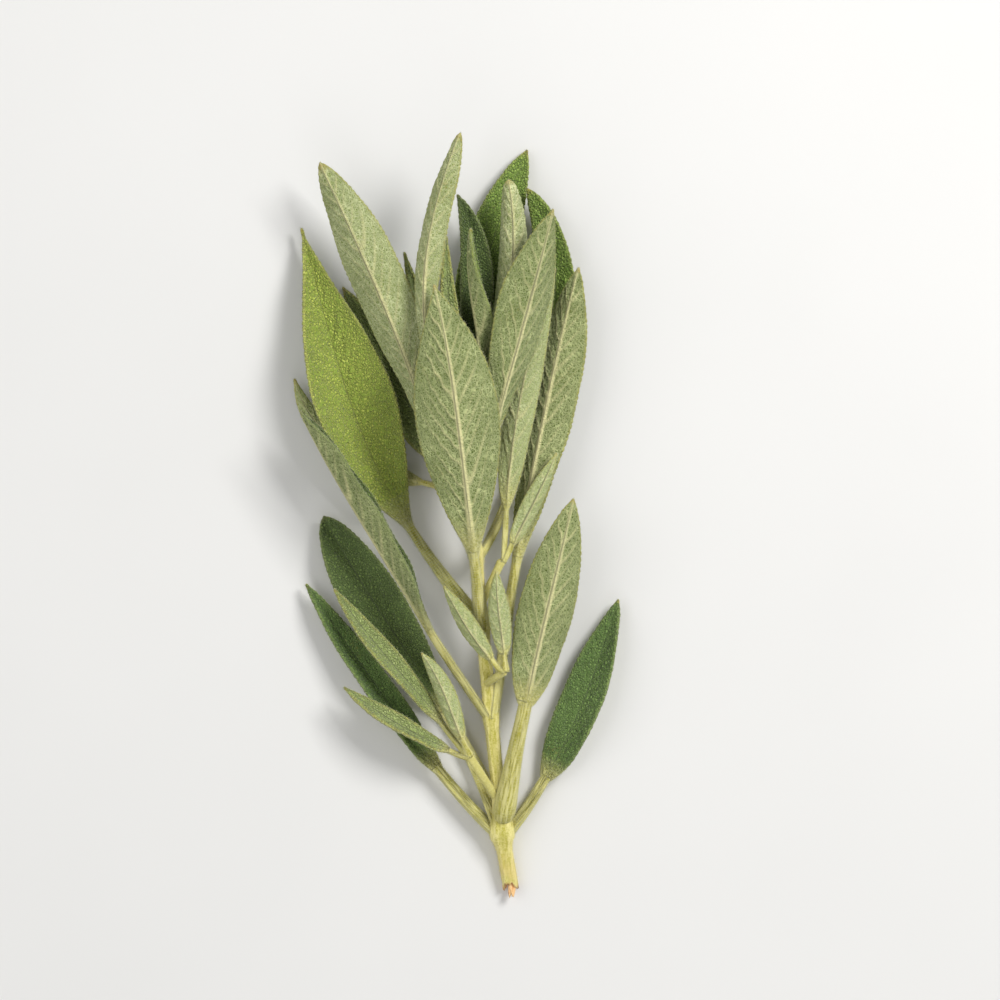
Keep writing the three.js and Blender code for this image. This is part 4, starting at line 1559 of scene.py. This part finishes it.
        place[first:, :, 3] = seam
        skin = rings_skin(rings, relief, place, np.zeros_like(place))
        bare = 4
        roots = rings[first + bare :, 1::3]
        aims = unit(roots - path[bare:, None]) + 0.45 * along[bare:, None]
        kinds = place[first + bare :, 1::3].reshape(-1, 4)
        return skin.joined(down(roots.reshape(-1, 3), aims.reshape(-1, 3), self.hair_length, kinds, 9))

    def build(self, finish: bpy.types.Material) -> bpy.types.Object:
        """Builds the stem with its splinters.

        Args:
            finish: The stem's material.

        Returns:
            The finished stem.
        """
        skin = self.bark()
        for splinter in self.splinters:
            skin = skin.joined(splinter.skin())
        return self.place(skin, finish)


def stem_leaves() -> list[StemLeaf]:
    """The eight pairs of leaves on the main stem.

    Returns:
        The leaves, from the lowest pair up.
    """
    upper, under = "leaf_upper", "leaf_under"
    return [
        StemLeaf("leaf_1_left", upper, leaf=Leaf(
            (-15, 23.1, 3.4), (-29, 41.6, 3.4), (-42.2, 61.2, 2.6), 3.2, (60, 28, 20), pair=0,
            blade_from=0.32, stalk=1.28, fold=22, curl=10, tone=Tone.MID, seed=1)),
        StemLeaf("leaf_1_right", upper, leaf=Leaf(
            (8.5, 22, 2.7), (16.4, 38.5, 3), (23, 58, 2.6), 4.6, (-62, -15, -20), pair=0,
            blade_from=0.3, stalk=1.1, fold=20, curl=10, tone=Tone.MID, seed=2)),
        StemLeaf("leaf_2_back", upper, leaf=Leaf(
            (-12.5, 33.4, 1.8), (-26, 54, 2.6), (-38.5, 75.4, 2.2), 6, (10, 5, 10), pair=1,
            blade_from=0.34, stalk=1.1, fold=14, curl=8, widest=0.6, point=0.7, tone=Tone.DEEP, seed=3)),
        StemLeaf("leaf_2_front", under, leaf=Leaf(
            (3.4, 35.6, 10), (8.5, 57.5, 12.5), (13.5, 79, 11.5), 5.8, (180, 190, 185), pair=1,
            blade_from=0.34, stalk=1.35, foot_swell=1.6, fold=18, curl=12, tone=Tone.GREY, seed=4)),
        StemLeaf("leaf_3_left", under, leaf=Leaf(
            (-17, 53.5, 10.4), (-32, 77.2, 13.7), (-42.8, 97.1, 14.4), 4.7, (90, 84, 86), pair=2,
            blade_from=0.3, fold=58, curl=14, tone=Tone.DEEP, seed=5)),
        StemLeaf("leaf_3_right", under, leaf=Leaf(
            (1.6, 65, 7.8), (8.2, 99, 8.4), (14.7, 127, 8.4), 5.8, (-90, -202, -200), pair=2,
            blade_from=0.34, fold=20, curl=12, widest=0.56, point=1, tone=Tone.GREY, seed=6)),
        StemLeaf("leaf_4_back", upper, leaf=Leaf(
            (-23.5, 78, 5.6), (-34, 102, 4.8), (-43.1, 135.4, 3.6), 9.8, (10, 14, 12), pair=3,
            blade_from=0.26, fold=28, curl=10, widest=0.5, point=1.35, tone=Tone.BRIGHT, seed=7)),
        StemLeaf("leaf_4_front", under, leaf=Leaf(
            (-8.2, 77, 18.6), (-11.2, 101.5, 22.6), (-15.3, 123, 20), 8.8, (180, 182, 178), pair=3,
            blade_from=0.2, fold=14, curl=10, point=1.25, tone=Tone.GREY, seed=8)),
        StemLeaf("leaf_5_left", under, leaf=Leaf(
            (-15.8, 93.5, 12.2), (-25, 117.6, 12.8), (-39, 148.6, 12), 6.3, (90, 157, 160), pair=4,
            blade_from=0.27, fold=20, curl=10, widest=0.65, point=0.7, tone=Tone.PALE, seed=9)),
        StemLeaf("leaf_5_right", upper, rests=True, leaf=Leaf(
            (2.5, 86, 3.4), (9.6, 116, 2), (3.9, 143.6, 6), 4.6, (-90, -8, -10), pair=4,
            blade_from=0.3, fold=12, curl=8, point=0.7, tone=Tone.FRESH, seed=10)),
        StemLeaf("leaf_6_back", upper, leaf=Leaf(
            (-8.4, 104, 5.4), (-5, 127, 2.6), (4, 151.8, 1.6), 5.4, (0, 4, 4), pair=5,
            blade_from=0.22, fold=12, curl=8, widest=0.6, point=0.8, tone=Tone.FRESH, seed=11)),
        StemLeaf("leaf_6_front", under, leaf=Leaf(
            (-2.2, 96.5, 16.8), (3.4, 115.8, 18), (9.2, 138.7, 17.5), 6.4, (180, 204, 202), pair=5,
            blade_from=0.22, fold=26, curl=12, widest=0.62, point=1, tone=Tone.GREY, seed=12)),
        StemLeaf("leaf_7_left", under, leaf=Leaf(
            (-15.9, 107, 16.6), (-16.7, 129, 17.8), (-9.8, 154.3, 19), 3.3, (90, 168, 150), pair=6,
            blade_from=0.22, fold=26, curl=20, widest=0.68, point=0.6, tone=Tone.PALE, seed=13)),
        StemLeaf("leaf_7_right", under, leaf=Leaf(
            (-2.8, 104.5, 11.6), (0.8, 124.5, 12), (0, 145, 12.6), 5, (-90, -176, -180), pair=6,
            blade_from=0.24, fold=24, curl=66, widest=0.6, point=0.5, tone=Tone.PALE, seed=14)),
        StemLeaf("leaf_8_front", under, leaf=Leaf(
            (-5.5, 106, 14.3), (-7.4, 120, 14.2), (-7.7, 134.8, 14.6), 3.6, (180, 130, 70), pair=7,
            blade_from=0.22, fold=46, curl=14, tone=Tone.FRESH, seed=15)),
        StemLeaf("leaf_8_back", upper, leaf=Leaf(
            (-7.4, 109.5, 7), (-6.6, 126.5, 6), (-10.6, 142.2, 7.2), 3.4, (0, 4, 0), pair=7,
            blade_from=0.22, fold=16, curl=10, tone=Tone.DEEP, seed=16)),
    ]


def small(third: Point, two_thirds: Point, tip: Point, half_width: float, roll: Point, seed: float) -> Leaf:
    """A small leaf of a side shoot or of the tuft."""
    return Leaf(third, two_thirds, tip, half_width, roll, small=True, seed=seed)


def shoots() -> list[Shoot]:
    """The side shoots, each in the angle between the stem and a leaf.

    Returns:
        The shoots, from the lowest up.
    """
    return [
        Shoot("side_shoot_1", "leaf_young", foot=(-2.2, 16.2, 3.6), end=(-8, 25.5, 8.2), leaves=(
            small((-19, 38.5, 8.4), (-28, 49, 7.6), (-36.2, 60.2, 6.6), 2.6, (90, 30, 20), 21),
            small((-16.5, 28.5, 8.6), (-25.5, 33.4, 8), (-34.2, 39.8, 7), 2.3, (90, 40, 30), 22),
            small((-11, 33, 10.6), (-14, 40.5, 11.2), (-18, 47, 11), 2.2, (180, 170, 170), 23))),
        Shoot("side_shoot_2", "leaf_young", foot=(-4.5, 40.6, 7.2), end=(-0.7, 43.2, 11.4),
              radius=0.85, leaves=(
            small((-1.2, 50, 13), (-2, 56.5, 14.4), (-2.4, 64, 15.6), 2.4, (-180, -180, -180), 24),
            small((-5.6, 48.4, 12.6), (-9.4, 54, 13.6), (-13.4, 61, 14), 2.2, (90, 160, 160), 25))),
        Shoot("side_shoot_3", "leaf_young", foot=(-5.4, 57.6, 9.1), end=(-1.4, 66, 11), leaves=(
            small((0.6, 87, 11), (3.8, 105.5, 11.2), (9.7, 126.8, 11.2), 3.7, (-90, -186, -190), 26),
            small((2.6, 73, 11.4), (6.2, 80, 11.6), (10, 88.5, 11.4), 2.2, (-90, -160, -160), 27))),
        Shoot("side_shoot_4", "leaf_young", rests=True, foot=(-6.9, 71, 10.2), end=(-11.6, 81, 7), leaves=(
            small((-18, 93, 3), (-24.5, 106, 1.8), (-34.6, 123.2, 1.8), 5.4, (60, -4, -4), 28),
            small((-25, 84.5, 3.8), (-37, 91.5, 3.9), (-44.6, 104, 4.2), 2.8, (180, 190, 190), 29),
            small((-14.6, 97, 8.2), (-17.8, 113.5, 9), (-21.6, 130.2, 9.4), 2.1, (90, 20, 10), 30))),
    ]


def tuft() -> Tuft:
    """The tuft at the tip of the stem.

    Returns:
        The tuft with its three leaves.
    """
    return Tuft("tip_leaves", "leaf_young", leaves=(
        small((-10.6, 107, 12.8), (-12.4, 119.5, 12.6), (-12.8, 133.3, 12.4), 1.9, (90, 20, 10), 31),
        small((-8.2, 100.4, 12.8), (-8, 104, 12.8), (-8.4, 108.4, 12.6), 1.4, (-90, -120, -120), 32),
        small((-8.8, 100.6, 12), (-9.2, 104.4, 11.6), (-9.6, 108, 11.6), 1.4, (0, 0, 0), 33)))


@dataclass
class Studio:
    """The floor, the soft lights and the camera straight above."""

    centre: tuple[float, float] = (0.0089, 0.0036)
    field: float = 0.207
    height: float = 1.2
    sprig_height: float = 0.012
    sensor: float = 36.0
    floor_reach: float = 3.0
    floor_gap: float = 0.00005
    sky: str = "F2F3F5"
    sky_strength: float = 0.34

    def camera(self) -> None:
        """Looks straight down with the sprig's tips at the top of the picture."""
        data = bpy.data.cameras.new("camera")
        data.sensor_width = self.sensor
        data.lens = self.sensor * (self.height - self.sprig_height) / self.field
        data.clip_end = 20
        made = bpy.data.objects.new("camera", data)
        made.location = (*self.centre, self.height)
        bpy.context.scene.collection.objects.link(made)
        bpy.context.scene.camera = made

    @staticmethod
    def light(name: str, place: Point, size: float, watts: float) -> None:
        """Adds a square soft light that faces the sprig.

        Args:
            name: The light's name.
            place: Where it hangs, in metres.
            size: The length of its side, in metres.
            watts: Its power.
        """
        data = bpy.data.lights.new(name, "AREA")
        data.size = size
        data.energy = watts
        made = bpy.data.objects.new(name, data)
        made.location = place
        made.rotation_euler = (-Vector(place)).to_track_quat("-Z", "Y").to_euler()
        bpy.context.scene.collection.objects.link(made)

    def floor(self) -> None:
        """Lays a wide pale floor just under the sprig."""
        mesh = bpy.data.meshes.new("floor")
        far = self.floor_reach
        corners = [(-far, -far, 0), (far, -far, 0), (far, far, 0), (-far, far, 0)]
        mesh.from_pydata(corners, [], [(0, 1, 2, 3)])
        made = bpy.data.objects.new("floor", mesh)
        made.location.z = -self.floor_gap
        made.data.materials.append(FloorFinish().material())
        bpy.context.scene.collection.objects.link(made)

    def build(self) -> None:
        """Sets up the whole studio."""
        self.camera()
        self.floor()
        self.light("key", (0.5, 0.4, 0.66), 0.34, 6.9)
        self.light("fill", (-0.66, 0.1, 0.76), 0.9, 3.5)
        self.light("front", (0.1, -0.8, 0.7), 0.8, 1.6)
        bpy.context.scene.view_settings.view_transform = "Standard"
        world = bpy.data.worlds.new("studio")
        world.use_nodes = True
        light = world.node_tree.nodes["Background"]
        light.inputs["Color"].default_value = srgb(self.sky)
        light.inputs["Strength"].default_value = self.sky_strength
        bpy.context.scene.world = world


def main() -> None:
    """Builds the sprig piece by piece in its studio."""
    logging.basicConfig(level=logging.INFO, format="%(name)s: %(message)s")
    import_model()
    finishes = {tone: finish.material() for tone, finish in FINISHES.items()}
    leaves = stem_leaves()
    for piece in leaves:
        piece.leaf.foot = PAIRS[piece.leaf.pair]
    Stem("stem", "stem", leaves=tuple(piece.leaf for piece in leaves)).build(StemFinish().material())
    for piece in [*leaves, *shoots(), tuft()]:
        piece.build(finishes)
    Studio().build()


if __name__ == "__main__":
    main()
